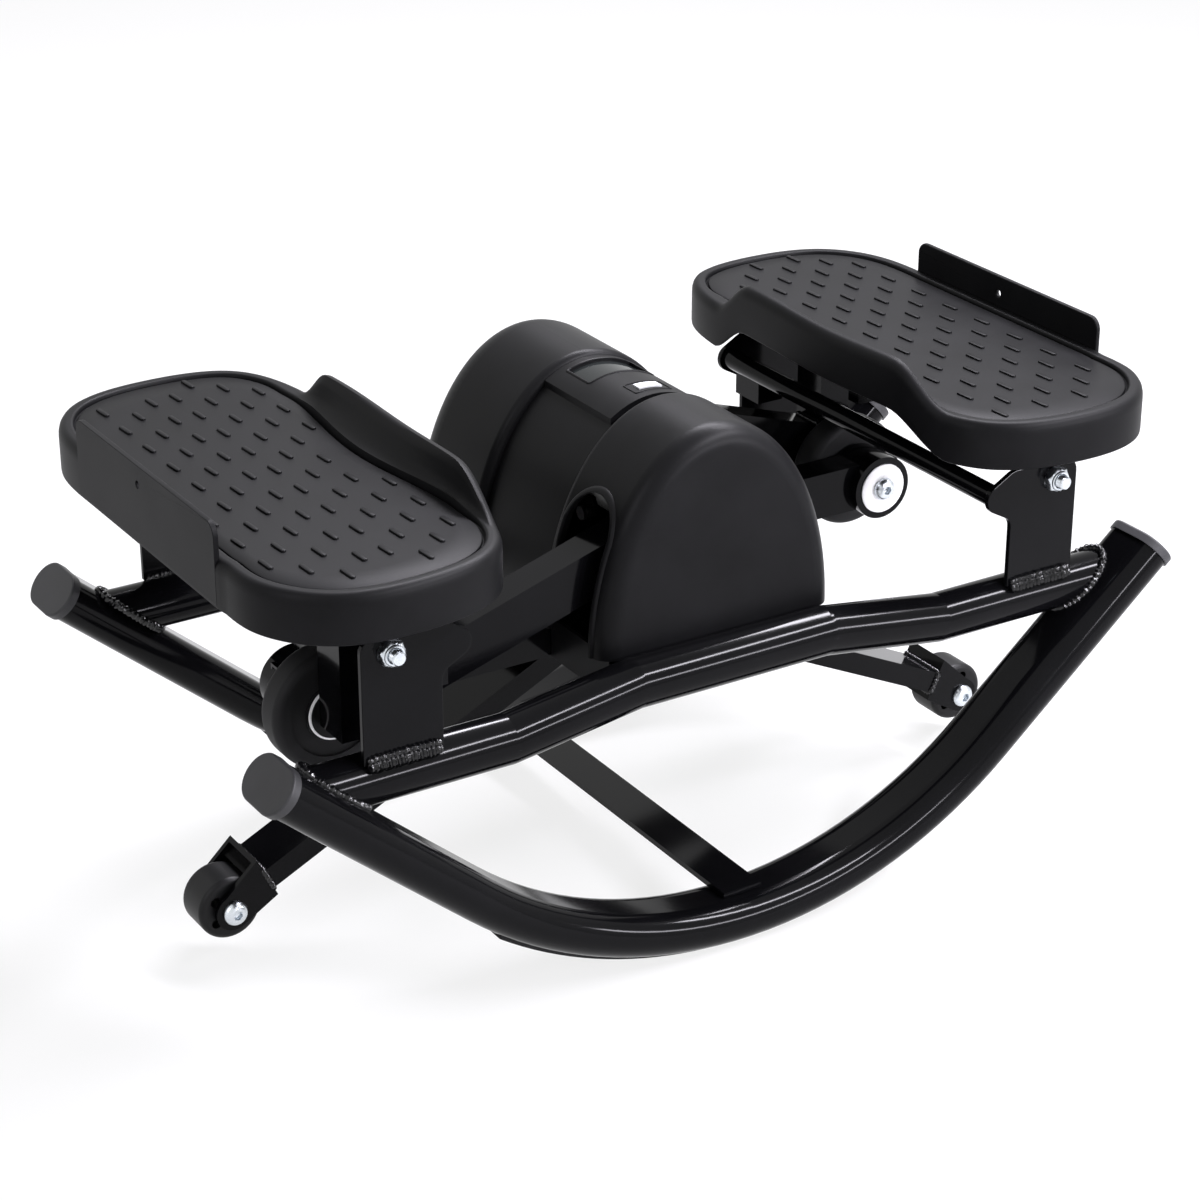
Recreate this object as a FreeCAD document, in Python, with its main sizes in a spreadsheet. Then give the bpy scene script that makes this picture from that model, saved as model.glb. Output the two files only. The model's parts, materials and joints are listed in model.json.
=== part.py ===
import FreeCAD, Part
import math
import os

import Sketcher

# Stepping trainer on curved rockers: X runs along the rockers, -Y is the front, Z is up.
# The origin lies on the floor under the middle of the machine.

Vector = FreeCAD.Vector
doc = FreeCAD.newDocument("stepper")
sheet = doc.addObject("Spreadsheet::Sheet", "Dim")

SIZES = {
    # rocker tubes and what is fitted to them
    "rocker_arc": 316, "rocker_bend_x": 205, "rocker_end_x": 344, "rocker_offset": 165,
    "rocker_tube_width": 50, "rocker_tube_height": 30, "rocker_wall": 2,
    "grip_thickness": 3, "grip_width": 20, "grip_reach": 190,
    "cap_thickness": 6.5, "cap_lip": 1.4, "cap_plug": 14, "cap_edge": 1.5,
    "crossbar_width": 30, "crossbar_thickness": 4, "crossbar_half_length": 172,
    "crossbar_gap": 0.3,
    # chord tubes that join the rocker ends
    "chord_radius": 17, "chord_wall": 2, "chord_offset": 152, "chord_height": 189,
    "chord_rise": 14, "chord_crest": 75, "chord_foot": 170,
    # base plate, roller beams and their bolts
    "base_thickness": 4, "base_half_x": 74, "base_half_y": 147, "base_screw_length": 5.5,
    "beam_inner": 34, "beam_width": 25, "beam_height": 35, "beam_wall": 2, "beam_tail": 70,
    "boss_radius": 24, "boss_depth": 8, "roller_x": 257, "roller_height": 202.5,
    "bolt_radius": 5, "shaft_clearance": 0.06, "bolt_head_radius": 8.7, "bolt_head_depth": 5.5,
    "nut_radius": 9.5, "nut_depth": 8, "washer_radius": 19, "washer_depth": 1.5,
    "roller_radius": 42, "roller_width": 24, "roller_round": 6, "roller_gap": 2,
    "roller_dish_radius": 31, "roller_dish_depth": 1.5, "hub_radius": 20, "running_gap": 0.5,
    # struts, forks and side wheels
    "strut_size": 40, "strut_height": 16, "strut_rise": 4, "strut_wall": 2, "axle_x": 305,
    "axle_height": 37.6, "strut_drop": 25.5, "fork_back": 31, "fork_wall": 3.5, "fork_nose": 13,
    "fork_high": 23, "fork_low": 10, "fork_cheek_wall": 3.5, "wheel_radius": 22.5,
    "wheel_width": 30, "wheel_gap": 2,
    "wheel_round": 4, "wheel_hole_radius": 3.6, "wheel_hole_ring": 13.5,
    # hinge brackets, tie rods and stop blocks
    "bracket_offset": 162, "bracket_thickness": 4, "bracket_inner_x": 222, "bracket_outer_x": 278,
    "bracket_top": 290, "bracket_neck": 254, "bracket_lobe_x": 201, "bracket_cut": 12,
    "hinge_x": 258, "hinge_height": 277.5, "tie_x": 211, "tie_height": 271.6,
    "tie_radius": 7.5, "tie_wall": 1.5, "tie_gap": 2,
    "stop_length": 30, "stop_width": 22, "stop_height": 20, "stop_drop": 8.6, "stop_x": 227,
    # pedal levers
    "sleeve_radius": 9, "sleeve_half_length": 158, "post_x": 256, "post_thickness": 26,
    "post_width": 30, "post_bottom": 197, "arm_offset": 102.5, "arm_width": 25, "arm_height": 33,
    "arm_slope": 17.2, "arm_wall": 2, "arm_root_z": 217.6, "arm_overlap": 12,
    "saddle_width": 24, "saddle_bottom": 280, "saddle_half": 36, "saddle_y": 75, "mid_saddle_y": 19,
    "carrier_top": 308, "carrier_thickness": 4, "carrier_half_x": 52, "carrier_half_y": 118,
    "pin_end": 14,
    # pedals
    "pedal_x": 254, "pedal_half_width": 89, "pedal_half_length": 198, "pedal_top": 336,
    "pedal_skirt": 33, "pedal_wall": 3, "pedal_deck": 4, "mat_inset": 9, "mat_thickness": 4,
    "mat_sink": 4, "mat_gap": 0.3, "lip_height": 25, "lip_wall": 4, "lip_reach_x": 20,
    "lip_front": 150, "lip_back": 130, "lip_slope": 36, "arch_height": 24, "arch_depth": 12,
    "flange_height": 23, "flange_wall": 3.5, "flange_half": 98, "flange_hole": 3,
    "foot_radius": 8, "foot_x": 36, "foot_y": 98, "screw_radius": 2.5, "screw_length": 14,
    "screw_head_radius": 5, "screw_head_depth": 3.2, "base_screw_inset_x": 12,
    "base_screw_inset_y": 7,
    # balance beam inside the housing
    "balance_height": 255, "balance_half": 112, "balance_width": 30, "balance_depth": 18,
    "balance_wall": 2, "pad_radius": 10, "pad_height": 8, "pad_round": 3, "cheek_thickness": 3,
    "cheek_gap": 1, "cheek_half": 20, "cheek_top": 15, "pin_radius": 5, "magnet_radius": 4,
    "magnet_depth": 3, "magnet_y": 46, "sensor_width": 12, "sensor_depth": 8,
    # housing and counter
    "housing_base": 215, "lobe_half": 92, "lobe_rise": 145, "waist_half": 85, "waist_rise": 138,
    "housing_front": 140, "housing_back": 126, "lobe_front_inner": 64, "lobe_back_inner": 26,
    "housing_wall": 3, "face_round": 15, "back_round": 30, "inner_round": 6, "slot_half": 25,
    "slot_offset": 100, "slot_top": 315, "slot_back_half": 17, "slot_back_offset": 102.5,
    "slot_back_top": 321, "notch_gap": 1.5, "tray_half_x": 82, "tray_front": 133,
    "tray_back": 119, "tray_wall": 3,
    "bezel_thickness": 4, "bezel_left": 34, "bezel_right": 33, "bezel_front": 58,
    "bezel_back": 25.5, "window_left": 20, "window_right": 29, "window_front": 9.5,
    "window_back": 17, "window_gap": 0.2, "key_x": 5, "key_y": 42, "key_length": 18,
    "key_width": 8, "key_rise": 1, "key_stem": 8, "key_gap": 0.3, "board_half": 34,
    "board_shift": 12, "board_post": 3, "board_thickness": 1.6, "board_drop": 18,
    "cell_radius": 5.25, "cell_length": 44,
    # all cuts run this far past the faces that they open
    "overrun": 1,
}

for row, (alias, amount) in enumerate(SIZES.items(), 1):
    sheet.set(f"A{row}", alias)
    sheet.set(f"B{row}", str(amount))
    sheet.setAlias(f"B{row}", alias)
doc.recompute()


def value(text):
    """Number that an expression in the sheet's sizes gives."""
    return float(sheet.evalExpression(text))


def bind(item, settings):
    """Tie properties of a document object to expressions in the sheet's sizes."""
    for name, text in settings.items():
        item.setExpression(name, text)


def place(item, x="0", y="0", z="0", axis=None, angle=None):
    """Put an object at a place given by expressions, turned about one axis."""
    if axis is not None:
        item.Placement = FreeCAD.Placement(Vector(0, 0, 0), FreeCAD.Rotation(axis, value(angle)))
        item.setExpression("Placement.Rotation.Angle", f"({angle}) * 1deg")
    bind(item, {"Placement.Base.x": x, "Placement.Base.y": y, "Placement.Base.z": z})


UP = Vector(0, 0, 1)
ALONG_X = Vector(1, 0, 0)
ALONG_Y = Vector(0, 1, 0)
QUARTER_TURN = "90"

parts = {}


def keep(item, name):
    """Name a finished piece; its label is also its file's name."""
    item.Label = name
    parts[name] = item
    return item


# Sketches and features

def body_named(name):
    return doc.addObject("PartDesign::Body", name)


def sketch_on(body, role, name, offset=None):
    """Sketch on one of the body's own origin planes, moved along its normal if wanted."""
    sketch = body.newObject("Sketcher::SketchObject", name)
    plane = [feature for feature in body.Origin.OriginFeatures if feature.Role == role][0]
    sketch.AttachmentSupport = [(plane, "")]
    sketch.MapMode = "FlatFace"
    if offset is not None:
        sketch.setExpression("AttachmentOffset.Base.z", offset)
    return sketch


def fix_point(sketch, geometry, point, across, up):
    """Hold a point of the sketch at two expressions, measured from the sketch's origin."""
    for kind, text in (("DistanceX", across), ("DistanceY", up)):
        number = sketch.addConstraint(
            Sketcher.Constraint(kind, -1, 1, geometry, point, value(text)))
        sketch.setExpression(f"Constraints[{number}]", text)


def fix_radius(sketch, geometry, radius):
    number = sketch.addConstraint(Sketcher.Constraint("Radius", geometry, value(radius)))
    sketch.setExpression(f"Constraints[{number}]", radius)


def draw_corners(sketch, corners, closed=True):
    """Straight lines from corner to corner, each corner held by expressions."""
    places = [Vector(value(across), value(up), 0) for across, up in corners]
    first = sketch.GeometryCount
    steps = len(corners) if closed else len(corners) - 1
    for step in range(steps):
        sketch.addGeometry(Part.LineSegment(places[step], places[(step + 1) % len(places)]))
    for step in range(steps if closed else steps - 1):
        sketch.addConstraint(Sketcher.Constraint(
            "Coincident", first + step, 2, first + (step + 1) % steps, 1))
    for step in range(steps):
        fix_point(sketch, first + step, 1, *corners[step])
    if not closed:
        fix_point(sketch, first + steps - 1, 2, *corners[-1])


def draw_rectangle(sketch, half_across, half_up, across="0", up="0"):
    left, right = f"{across} - {half_across}", f"{across} + {half_across}"
    low, high = f"{up} - {half_up}", f"{up} + {half_up}"
    draw_corners(sketch, [(left, low), (right, low), (right, high), (left, high)])


def draw_circle(sketch, radius, across="0", up="0"):
    centre = Vector(value(across), value(up), 0)
    number = sketch.addGeometry(Part.Circle(centre, UP, value(radius)))
    fix_point(sketch, number, 3, across, up)
    fix_radius(sketch, number, radius)


def draw_oval(sketch, half_long, half_short, up="0", along_x=True):
    """Flat oval: two straight sides joined by half circles."""
    reach, radius, centre = value(f"{half_long} - {half_short}"), value(half_short), value(up)
    first = sketch.GeometryCount
    if along_x:
        ends = [Vector(reach, centre, 0), Vector(-reach, centre, 0)]
        side, turn = Vector(0, radius, 0), 1.5
        names = [(f"{half_long} - ({half_short})", up), (f"({half_short}) - {half_long}", up)]
    else:
        ends = [Vector(0, centre + reach, 0), Vector(0, centre - reach, 0)]
        side, turn = Vector(-radius, 0, 0), 0
        names = [("0", f"{up} + {half_long} - ({half_short})"),
                 ("0", f"{up} - {half_long} + ({half_short})")]
    for place_number, end in enumerate(ends):
        start = (turn + place_number) * math.pi
        circle = Part.Circle(end, UP, radius)
        sketch.addGeometry(Part.ArcOfCircle(circle, start, start + math.pi))
    sketch.addGeometry(Part.LineSegment(ends[0] + side, ends[1] + side))
    sketch.addGeometry(Part.LineSegment(ends[1] - side, ends[0] - side))
    for joint in ((0, 2, 2, 1), (2, 2, 1, 1), (1, 2, 3, 1), (3, 2, 0, 1)):
        sketch.addConstraint(Sketcher.Constraint(
            "Tangent", first + joint[0], joint[1], first + joint[2], joint[3]))
    sketch.addConstraint(Sketcher.Constraint("Equal", first, first + 1))
    for place_number, (across, height) in enumerate(names):
        fix_point(sketch, first + place_number, 3, across, height)
    fix_radius(sketch, first, half_short)


def pad(body, sketch, length, symmetric=True, reverse=False):
    feature = body.newObject("PartDesign::Pad", f"{body.Name}_pad")
    feature.Profile = sketch
    if symmetric:
        feature.SideType = "Symmetric"
    feature.Reversed = reverse
    feature.setExpression("Length", length)
    return feature


def pocket(body, sketch, length):
    """Cut that runs the same way on both sides of its sketch."""
    feature = body.newObject("PartDesign::Pocket", f"{body.Name}_pocket")
    feature.Profile = sketch
    feature.SideType = "Symmetric"
    feature.setExpression("Length", length)
    return feature


def fillet(body, base, radius, chosen):
    """Round the edges of the last feature that the test picks out."""
    doc.recompute()
    names = [f"Edge{number}" for number, edge in enumerate(base.Shape.Edges, 1) if chosen(edge)]
    feature = body.newObject("PartDesign::Fillet", f"{body.Name}_fillet")
    feature.Base = (base, names)
    feature.setExpression("Radius", radius)
    return feature


def mirror_about_x(body, features):
    """Repeat features on the other side of the plane X = 0."""
    feature = body.newObject("PartDesign::Mirrored", f"{body.Name}_mirrored")
    feature.Originals = features
    plane = [item for item in body.Origin.OriginFeatures if item.Role == "YZ_Plane"][0]
    feature.MirrorPlane = (plane, [""])
    body.Tip = feature
    return feature


# Primitives and booleans

def block(name, low, high):
    """Box between two corners given by expressions."""
    item = doc.addObject("Part::Box", name)
    for size, start, end in zip(("Length", "Width", "Height"), low, high):
        item.setExpression(size, f"({end}) - ({start})")
    place(item, *low)
    return item


def rod(name, radius, low, high, x, z):
    """Round bar along Y between two places."""
    item = doc.addObject("Part::Cylinder", name)
    bind(item, {"Radius": radius, "Height": f"({high}) - ({low})"})
    place(item, x, high, z, ALONG_X, QUARTER_TURN)
    return item


def upright(name, radius, low, high, x, y):
    """Round bar along Z between two heights."""
    item = doc.addObject("Part::Cylinder", name)
    bind(item, {"Radius": radius, "Height": f"({high}) - ({low})"})
    place(item, x, y, low)
    return item


def cut(name, base, tool):
    item = doc.addObject("Part::Cut", name)
    item.Base = base
    item.Tool = tool
    return item


def join(name, pieces):
    item = doc.addObject("Part::MultiFuse", name)
    item.Shapes = pieces
    item.Refine = True
    return item


def group(name, pieces):
    """Identical fasteners kept together as separate solids."""
    item = doc.addObject("Part::Compound", name)
    item.Links = pieces
    return item


def screw(name, x, y, seat, length):
    """Screw that stands upright with its head under the seat."""
    head = upright(f"{name}_head", "Dim.screw_head_radius", f"{seat} - Dim.screw_head_depth", seat, x, y)
    shank = upright(f"{name}_shank", "Dim.screw_radius", seat, f"{seat} + {length}", x, y)
    return join(name, [head, shank])


def ring(name, outer, inner, low, high, x, z):
    return cut(name, rod(f"{name}_disc", outer, low, high, x, z),
               rod(f"{name}_bore", inner, f"({low}) - Dim.overrun", f"({high}) + Dim.overrun", x, z))


def hex_along_y(name, radius, low, high, x, z):
    item = doc.addObject("Part::Prism", name)
    item.Polygon = 6
    bind(item, {"Circumradius": radius, "Height": f"({high}) - ({low})"})
    place(item, x, high, z, ALONG_X, QUARTER_TURN)
    return item


def hex_nut(name, low, high, x, z):
    return cut(name, hex_along_y(f"{name}_hexagon", "Dim.nut_radius", low, high, x, z),
               rod(f"{name}_thread", "Dim.bolt_radius", f"({low}) - Dim.overrun",
                   f"({high}) + Dim.overrun", x, z))


def shape_feature(name, shape):
    """Piece whose shape has no sketch or primitive of its own."""
    item = doc.addObject("Part::Feature", name)
    item.Shape = shape
    item.Placement = FreeCAD.Placement()
    return item


# Heights and angles that several pieces share
ROCKER_LOW = "(Dim.grip_thickness + Dim.rocker_tube_height / 2)"
ARC_CENTRE = f"({ROCKER_LOW} + Dim.rocker_arc)"
LEAN = "asin(Dim.rocker_bend_x / Dim.rocker_arc)"
BEND_Z = f"({ARC_CENTRE} - Dim.rocker_arc * cos({LEAN}))"
TUBE_END_X = f"(Dim.rocker_end_x - Dim.cap_thickness * cos({LEAN}))"
TUBE_END_Z = f"({BEND_Z} + ({TUBE_END_X} - Dim.rocker_bend_x) * tan({LEAN}))"
CREST = "(Dim.chord_height + Dim.chord_rise)"
PLATE_TOP = f"({CREST} - Dim.chord_radius)"
PLATE_LOW = f"({PLATE_TOP} - Dim.base_thickness)"
BEAM_TOP = f"({PLATE_TOP} + Dim.beam_height)"
DROP = "(Dim.strut_drop * 1deg)"
SLOPE = "(Dim.arm_slope * 1deg)"
BORE = "(Dim.bolt_radius + Dim.shaft_clearance)"
SIDES = {"left": -1, "right": 1}
ENDS = {"front": -1, "back": 1}

# Shares of the sizes that they are used with
BEAM_TIP_SHARE = 0.8
LOBE_SHARE = 1.4
SLOT_DEPTH_SHARE = 0.33
OPENING_DEPTH_SHARE = 0.67
CLOSE_SHARE = 0.01


def arch_path(sketch, radius, centre, end_x):
    """Arc that rises from the middle of the rocker to the given distance."""
    arc, reach = value(radius), value(end_x)
    quarter = math.pi / 2
    sweep = math.asin(reach / arc)
    circle = Part.Circle(Vector(0, value(centre), 0), UP, arc)
    sketch.addGeometry(Part.ArcOfCircle(circle, -quarter, sweep - quarter))
    fix_point(sketch, 0, 3, "0", centre)
    fix_radius(sketch, 0, radius)
    for point, text in ((1, "0"), (2, end_x)):
        distance = reach if point == 2 else 0
        number = sketch.addConstraint(
            Sketcher.Constraint("DistanceX", -1, 1, 0, point, distance))
        sketch.setExpression(f"Constraints[{number}]", text)


def pipe(body, profile, path):
    feature = body.newObject("PartDesign::AdditivePipe", f"{body.Name}_pipe")
    feature.Profile = profile
    feature.Spine = (path, [f"Edge{number + 1}" for number in range(path.GeometryCount)])
    feature.Transition = "Round corner"
    return feature


def make_rocker(end, sign):
    """Flat oval tube bent to an arc with straight rising ends."""
    body = body_named(f"{end}_rocker")
    path = sketch_on(body, "XZ_Plane", f"{end}_rocker_path")
    arch_path(path, "Dim.rocker_arc", ARC_CENTRE, "Dim.rocker_bend_x")
    start = Vector(value("Dim.rocker_bend_x"), value(BEND_Z), 0)
    finish = Vector(value(TUBE_END_X), value(TUBE_END_Z), 0)
    path.addGeometry(Part.LineSegment(start, finish))
    path.addConstraint(Sketcher.Constraint("Coincident", 0, 2, 1, 1))
    fix_point(path, 1, 2, TUBE_END_X, TUBE_END_Z)
    profile = sketch_on(body, "YZ_Plane", f"{end}_rocker_profile")
    draw_oval(profile, "Dim.rocker_tube_width / 2", "Dim.rocker_tube_height / 2", ROCKER_LOW)
    draw_oval(profile, "(Dim.rocker_tube_width / 2 - Dim.rocker_wall)",
              "(Dim.rocker_tube_height / 2 - Dim.rocker_wall)", ROCKER_LOW)
    mirror_about_x(body, [pipe(body, profile, path)])
    place(body, y=f"{sign} * Dim.rocker_offset")
    keep(body, f"{end}_rocker")


def make_grip(end, sign):
    """Rubber strip under the round part of a rocker."""
    body = body_named(f"{end}_grip_strip")
    path = sketch_on(body, "XZ_Plane", f"{end}_grip_path")
    arch_path(path, f"({ARC_CENTRE} - Dim.grip_thickness / 2)", ARC_CENTRE, "Dim.grip_reach")
    profile = sketch_on(body, "YZ_Plane", f"{end}_grip_profile")
    draw_rectangle(profile, "Dim.grip_width / 2", "Dim.grip_thickness / 2",
                   up="Dim.grip_thickness / 2")
    mirror_about_x(body, [pipe(body, profile, path)])
    place(body, y=f"{sign} * Dim.rocker_offset")
    keep(body, f"{end}_grip_strip")


def make_rocker_cap(end, end_sign, side, side_sign):
    """Plastic cap with a plug that closes one end of a rocker tube."""
    name = f"{end}_{side}_rocker_cap"
    body = body_named(name)
    half_short = "(Dim.rocker_tube_height / 2 + Dim.cap_lip)"
    half_long = "(Dim.rocker_tube_width / 2 + Dim.cap_lip)"
    face = sketch_on(body, "XY_Plane", f"{name}_face")
    draw_oval(face, half_long, half_short, along_x=False)
    pad(body, face, "Dim.cap_thickness", symmetric=False)
    stem = sketch_on(body, "XY_Plane", f"{name}_stem")
    draw_oval(stem, "(Dim.rocker_tube_width / 2 - Dim.rocker_wall)",
              "(Dim.rocker_tube_height / 2 - Dim.rocker_wall)", along_x=False)
    plug = pad(body, stem, "Dim.cap_plug", symmetric=False, reverse=True)
    top = value("Dim.cap_thickness")
    fillet(body, plug, "Dim.cap_edge",
           lambda edge: abs(edge.BoundBox.ZMin - top) < top * CLOSE_SHARE)
    place(body, f"{side_sign} * {TUBE_END_X}", f"{end_sign} * Dim.rocker_offset", TUBE_END_Z,
          ALONG_Y, f"{side_sign} * (90 - {LEAN} / 1deg)")
    keep(body, name)


def make_crossbar():
    """Flat bar that lies across both rockers at their lowest point."""
    half = "Dim.crossbar_width / 2"
    inside = "(Dim.rocker_arc - Dim.rocker_tube_height / 2)"
    low = f"{ARC_CENTRE} - sqrt({inside} ^ 2 - ({half}) ^ 2) + Dim.crossbar_gap"
    item = block("floor_crossbar", (f"-{half}", "-Dim.crossbar_half_length", low),
                 (half, "Dim.crossbar_half_length", f"{low} + Dim.crossbar_thickness"))
    keep(item, "floor_crossbar")


def make_chord(end, sign):
    """Round tube with a raised middle, cut to lie against both rocker ends."""
    body = body_named(f"{end}_chord")
    path = sketch_on(body, "XZ_Plane", f"{end}_chord_path")
    draw_corners(path, [("0", CREST), ("Dim.chord_crest", CREST),
                        ("Dim.chord_foot", "Dim.chord_height"),
                        ("Dim.rocker_end_x", "Dim.chord_height")], closed=False)
    profile = sketch_on(body, "YZ_Plane", f"{end}_chord_profile")
    draw_circle(profile, "Dim.chord_radius", up=CREST)
    draw_circle(profile, "(Dim.chord_radius - Dim.chord_wall)", up=CREST)
    mirror_about_x(body, [pipe(body, profile, path)])
    # the upper face of the rocker's straight end is where the tube stops
    lift = f"(Dim.rocker_tube_height / 2 / cos({LEAN}))"
    for side, mark in SIDES.items():
        trim = sketch_on(body, "XZ_Plane", f"{end}_chord_trim_{side}")
        low, high = "(Dim.chord_height - 2 * Dim.chord_radius)", f"({CREST} + 2 * Dim.chord_radius)"
        at_low = f"(Dim.rocker_bend_x + ({low} - {lift} - {BEND_Z}) / tan({LEAN}))"
        at_high = f"(Dim.rocker_bend_x + ({high} - {lift} - {BEND_Z}) / tan({LEAN}))"
        far = "(Dim.rocker_end_x + 2 * Dim.chord_radius)"
        draw_corners(trim, [(f"{mark} * {at_low}", low), (f"{mark} * {far}", low),
                            (f"{mark} * {far}", high), (f"{mark} * {at_high}", high)])
        pocket(body, trim, "2 * Dim.chord_radius + 2 * Dim.overrun")
    place(body, y=f"{sign} * Dim.chord_offset")
    keep(body, f"{end}_chord")


def make_base_plate():
    """Steel plate under the raised middle of both chord tubes, with its four screws."""
    body = body_named("base_plate")
    sketch = sketch_on(body, "XY_Plane", "base_plate_outline", PLATE_LOW)
    draw_rectangle(sketch, "Dim.base_half_x", "Dim.base_half_y")
    screws = []
    for side, mark in SIDES.items():
        for end, sign in ENDS.items():
            x = f"{mark} * (Dim.base_half_x - Dim.base_screw_inset_x)"
            y = f"{sign} * (Dim.base_half_y - Dim.base_screw_inset_y)"
            draw_circle(sketch, "Dim.screw_radius", x, y)
            screws.append(screw(f"base_screw_{side}_{end}", x, y, PLATE_LOW, "Dim.base_screw_length"))
    pad(body, sketch, "Dim.base_thickness", symmetric=False)
    keep(body, "base_plate")
    keep(group("base_screws", screws), "base_screws")


def make_roller_beam(side, mark):
    """Level tube on the base plate that reaches out to the big roller."""
    name = f"{side}_roller_beam"
    inner, outer = "Dim.beam_inner", "(Dim.beam_inner + Dim.beam_width)"
    tip = f"(Dim.roller_x + Dim.boss_radius * {BEAM_TIP_SHARE})"
    ends = (f"-{tip}", "Dim.beam_tail") if mark < 0 else ("-Dim.beam_tail", tip)
    faces = (f"-{outer}", f"-{inner}") if mark < 0 else (inner, outer)
    tube = cut(f"{name}_tube",
               block(f"{name}_outside", (ends[0], faces[0], PLATE_TOP), (ends[1], faces[1], BEAM_TOP)),
               block(f"{name}_inside",
                     (f"{ends[0]} - Dim.overrun", f"{faces[0]} + Dim.beam_wall",
                      f"{PLATE_TOP} + Dim.beam_wall"),
                     (f"{ends[1]} + Dim.overrun", f"{faces[1]} - Dim.beam_wall",
                      f"{BEAM_TOP} - Dim.beam_wall")))
    x = f"{mark} * Dim.roller_x"
    near = f"({inner} - Dim.boss_depth)"
    boss_low, boss_high = (f"-{outer}", f"-{near}") if mark < 0 else (near, outer)
    solid = join(f"{name}_solid", [tube, rod(f"{name}_boss", "Dim.boss_radius", boss_low, boss_high,
                                             x, "Dim.roller_height")])
    bore = rod(f"{name}_bore", BORE, f"{boss_low} - Dim.overrun", f"{boss_high} + Dim.overrun",
               x, "Dim.roller_height")
    keep(cut(name, solid, bore), name)


def mirrored_span(mark, near, far):
    """Low and high place along Y of something that lies on one side of the middle."""
    return (f"-({far})", f"-({near})") if mark < 0 else (near, far)


def make_roller(side, mark):
    """Rubber roller with dished faces on a nylon hub."""
    near = "(Dim.beam_inner + Dim.beam_width + Dim.roller_gap)"
    middle = f"{mark} * ({near} + Dim.roller_width / 2)"
    tyre = body_named(f"{side}_roller_tyre")
    sketch = sketch_on(tyre, "XZ_Plane", f"{side}_tyre_ring")
    draw_circle(sketch, "Dim.roller_radius")
    draw_circle(sketch, "Dim.hub_radius")
    solid = pad(tyre, sketch, "Dim.roller_width")
    limit = value("(Dim.roller_radius + Dim.hub_radius) / 2")
    fillet(tyre, solid, "Dim.roller_round",
           lambda edge: edge.BoundBox.XMax > limit and edge.Curve.TypeId == "Part::GeomCircle")
    for face, sign in ENDS.items():
        dish = sketch_on(tyre, "XZ_Plane", f"{side}_tyre_dish_{face}", f"{sign} * Dim.roller_width / 2")
        draw_circle(dish, "Dim.roller_dish_radius")
        pocket(tyre, dish, "2 * Dim.roller_dish_depth")
    place(tyre, f"{mark} * Dim.roller_x", middle, "Dim.roller_height")
    keep(tyre, f"{side}_roller_tyre")
    low, high = mirrored_span(mark, f"{near} + Dim.running_gap",
                              f"{near} + Dim.roller_width - Dim.running_gap")
    hub = ring(f"{side}_roller_hub", "Dim.hub_radius", BORE, low, high,
               f"{mark} * Dim.roller_x", "Dim.roller_height")
    keep(hub, f"{side}_roller_hub")


def make_roller_bolts():
    """Bolt, white washers and round head that hold each roller to its beam."""
    bolts, washers = [], []
    for side, mark in SIDES.items():
        x, z = f"{mark} * Dim.roller_x", "Dim.roller_height"
        boss = "(Dim.beam_inner - Dim.boss_depth)"
        end = "(Dim.beam_inner + Dim.beam_width + Dim.roller_gap + Dim.roller_width)"
        seat = f"({boss} - Dim.washer_depth)"
        shank = rod(f"{side}_roller_shank", "Dim.bolt_radius",
                    *mirrored_span(mark, seat, f"{end} + Dim.washer_depth"), x, z)
        head = rod(f"{side}_roller_head", "Dim.bolt_head_radius",
                   *mirrored_span(mark, f"{seat} - Dim.bolt_head_depth", seat), x, z)
        bolts.append(join(f"{side}_roller_bolt", [shank, head]))
        washers.append(ring(f"{side}_boss_washer", "Dim.washer_radius", "Dim.bolt_radius",
                            *mirrored_span(mark, seat, boss), x, z))
        washers.append(ring(f"{side}_face_washer", "Dim.washer_radius", "Dim.bolt_radius",
                            *mirrored_span(mark, end, f"{end} + Dim.washer_depth"), x, z))
    keep(group("roller_bolts", bolts), "roller_bolts")
    keep(group("nylon_washers", washers), "nylon_washers")


def make_strut(side, mark):
    """Flat tube from under the base plate down to a side wheel."""
    half = "(Dim.strut_height / 2)"
    lift = f"(Dim.strut_rise / cos({DROP}))"
    start_x = f"(Dim.axle_x - Dim.fork_back * cos({DROP}) + Dim.strut_rise * sin({DROP}))"
    start_z = f"(Dim.axle_height + Dim.fork_back * sin({DROP}) + Dim.strut_rise * cos({DROP}))"
    middle_z = f"(Dim.axle_height + Dim.axle_x * tan({DROP}) + {lift})"

    def outline(inset, past):
        """Side view of the tube, its sides moved in and its end moved out."""
        reach = f"({half} - {inset})"
        rise = f"({reach} / cos({DROP}))"
        end_x = f"({start_x} + {past} * cos({DROP}))"
        end_z = f"({start_z} - {past} * sin({DROP}))"
        top_x = f"(Dim.axle_x - ({PLATE_LOW} - {rise} - {lift} - Dim.axle_height) / tan({DROP}))"
        return [(f"{mark} * {inset}", f"{middle_z} - {inset} * tan({DROP}) - {rise}"),
                (f"{mark} * ({end_x} - {reach} * sin({DROP}))", f"{end_z} - {reach} * cos({DROP})"),
                (f"{mark} * ({end_x} + {reach} * sin({DROP}))", f"{end_z} + {reach} * cos({DROP})"),
                (f"{mark} * {top_x}", PLATE_LOW),
                (f"{mark} * {inset}", PLATE_LOW)]

    body = body_named(f"{side}_strut")
    outside = sketch_on(body, "XZ_Plane", f"{side}_strut_outside")
    draw_corners(outside, outline("0", "0"))
    pad(body, outside, "Dim.strut_size")
    inside = sketch_on(body, "XZ_Plane", f"{side}_strut_inside")
    draw_corners(inside, outline("Dim.strut_wall", "Dim.overrun"))
    pocket(body, inside, "Dim.strut_size - 2 * Dim.strut_wall")
    keep(body, f"{side}_strut")


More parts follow.
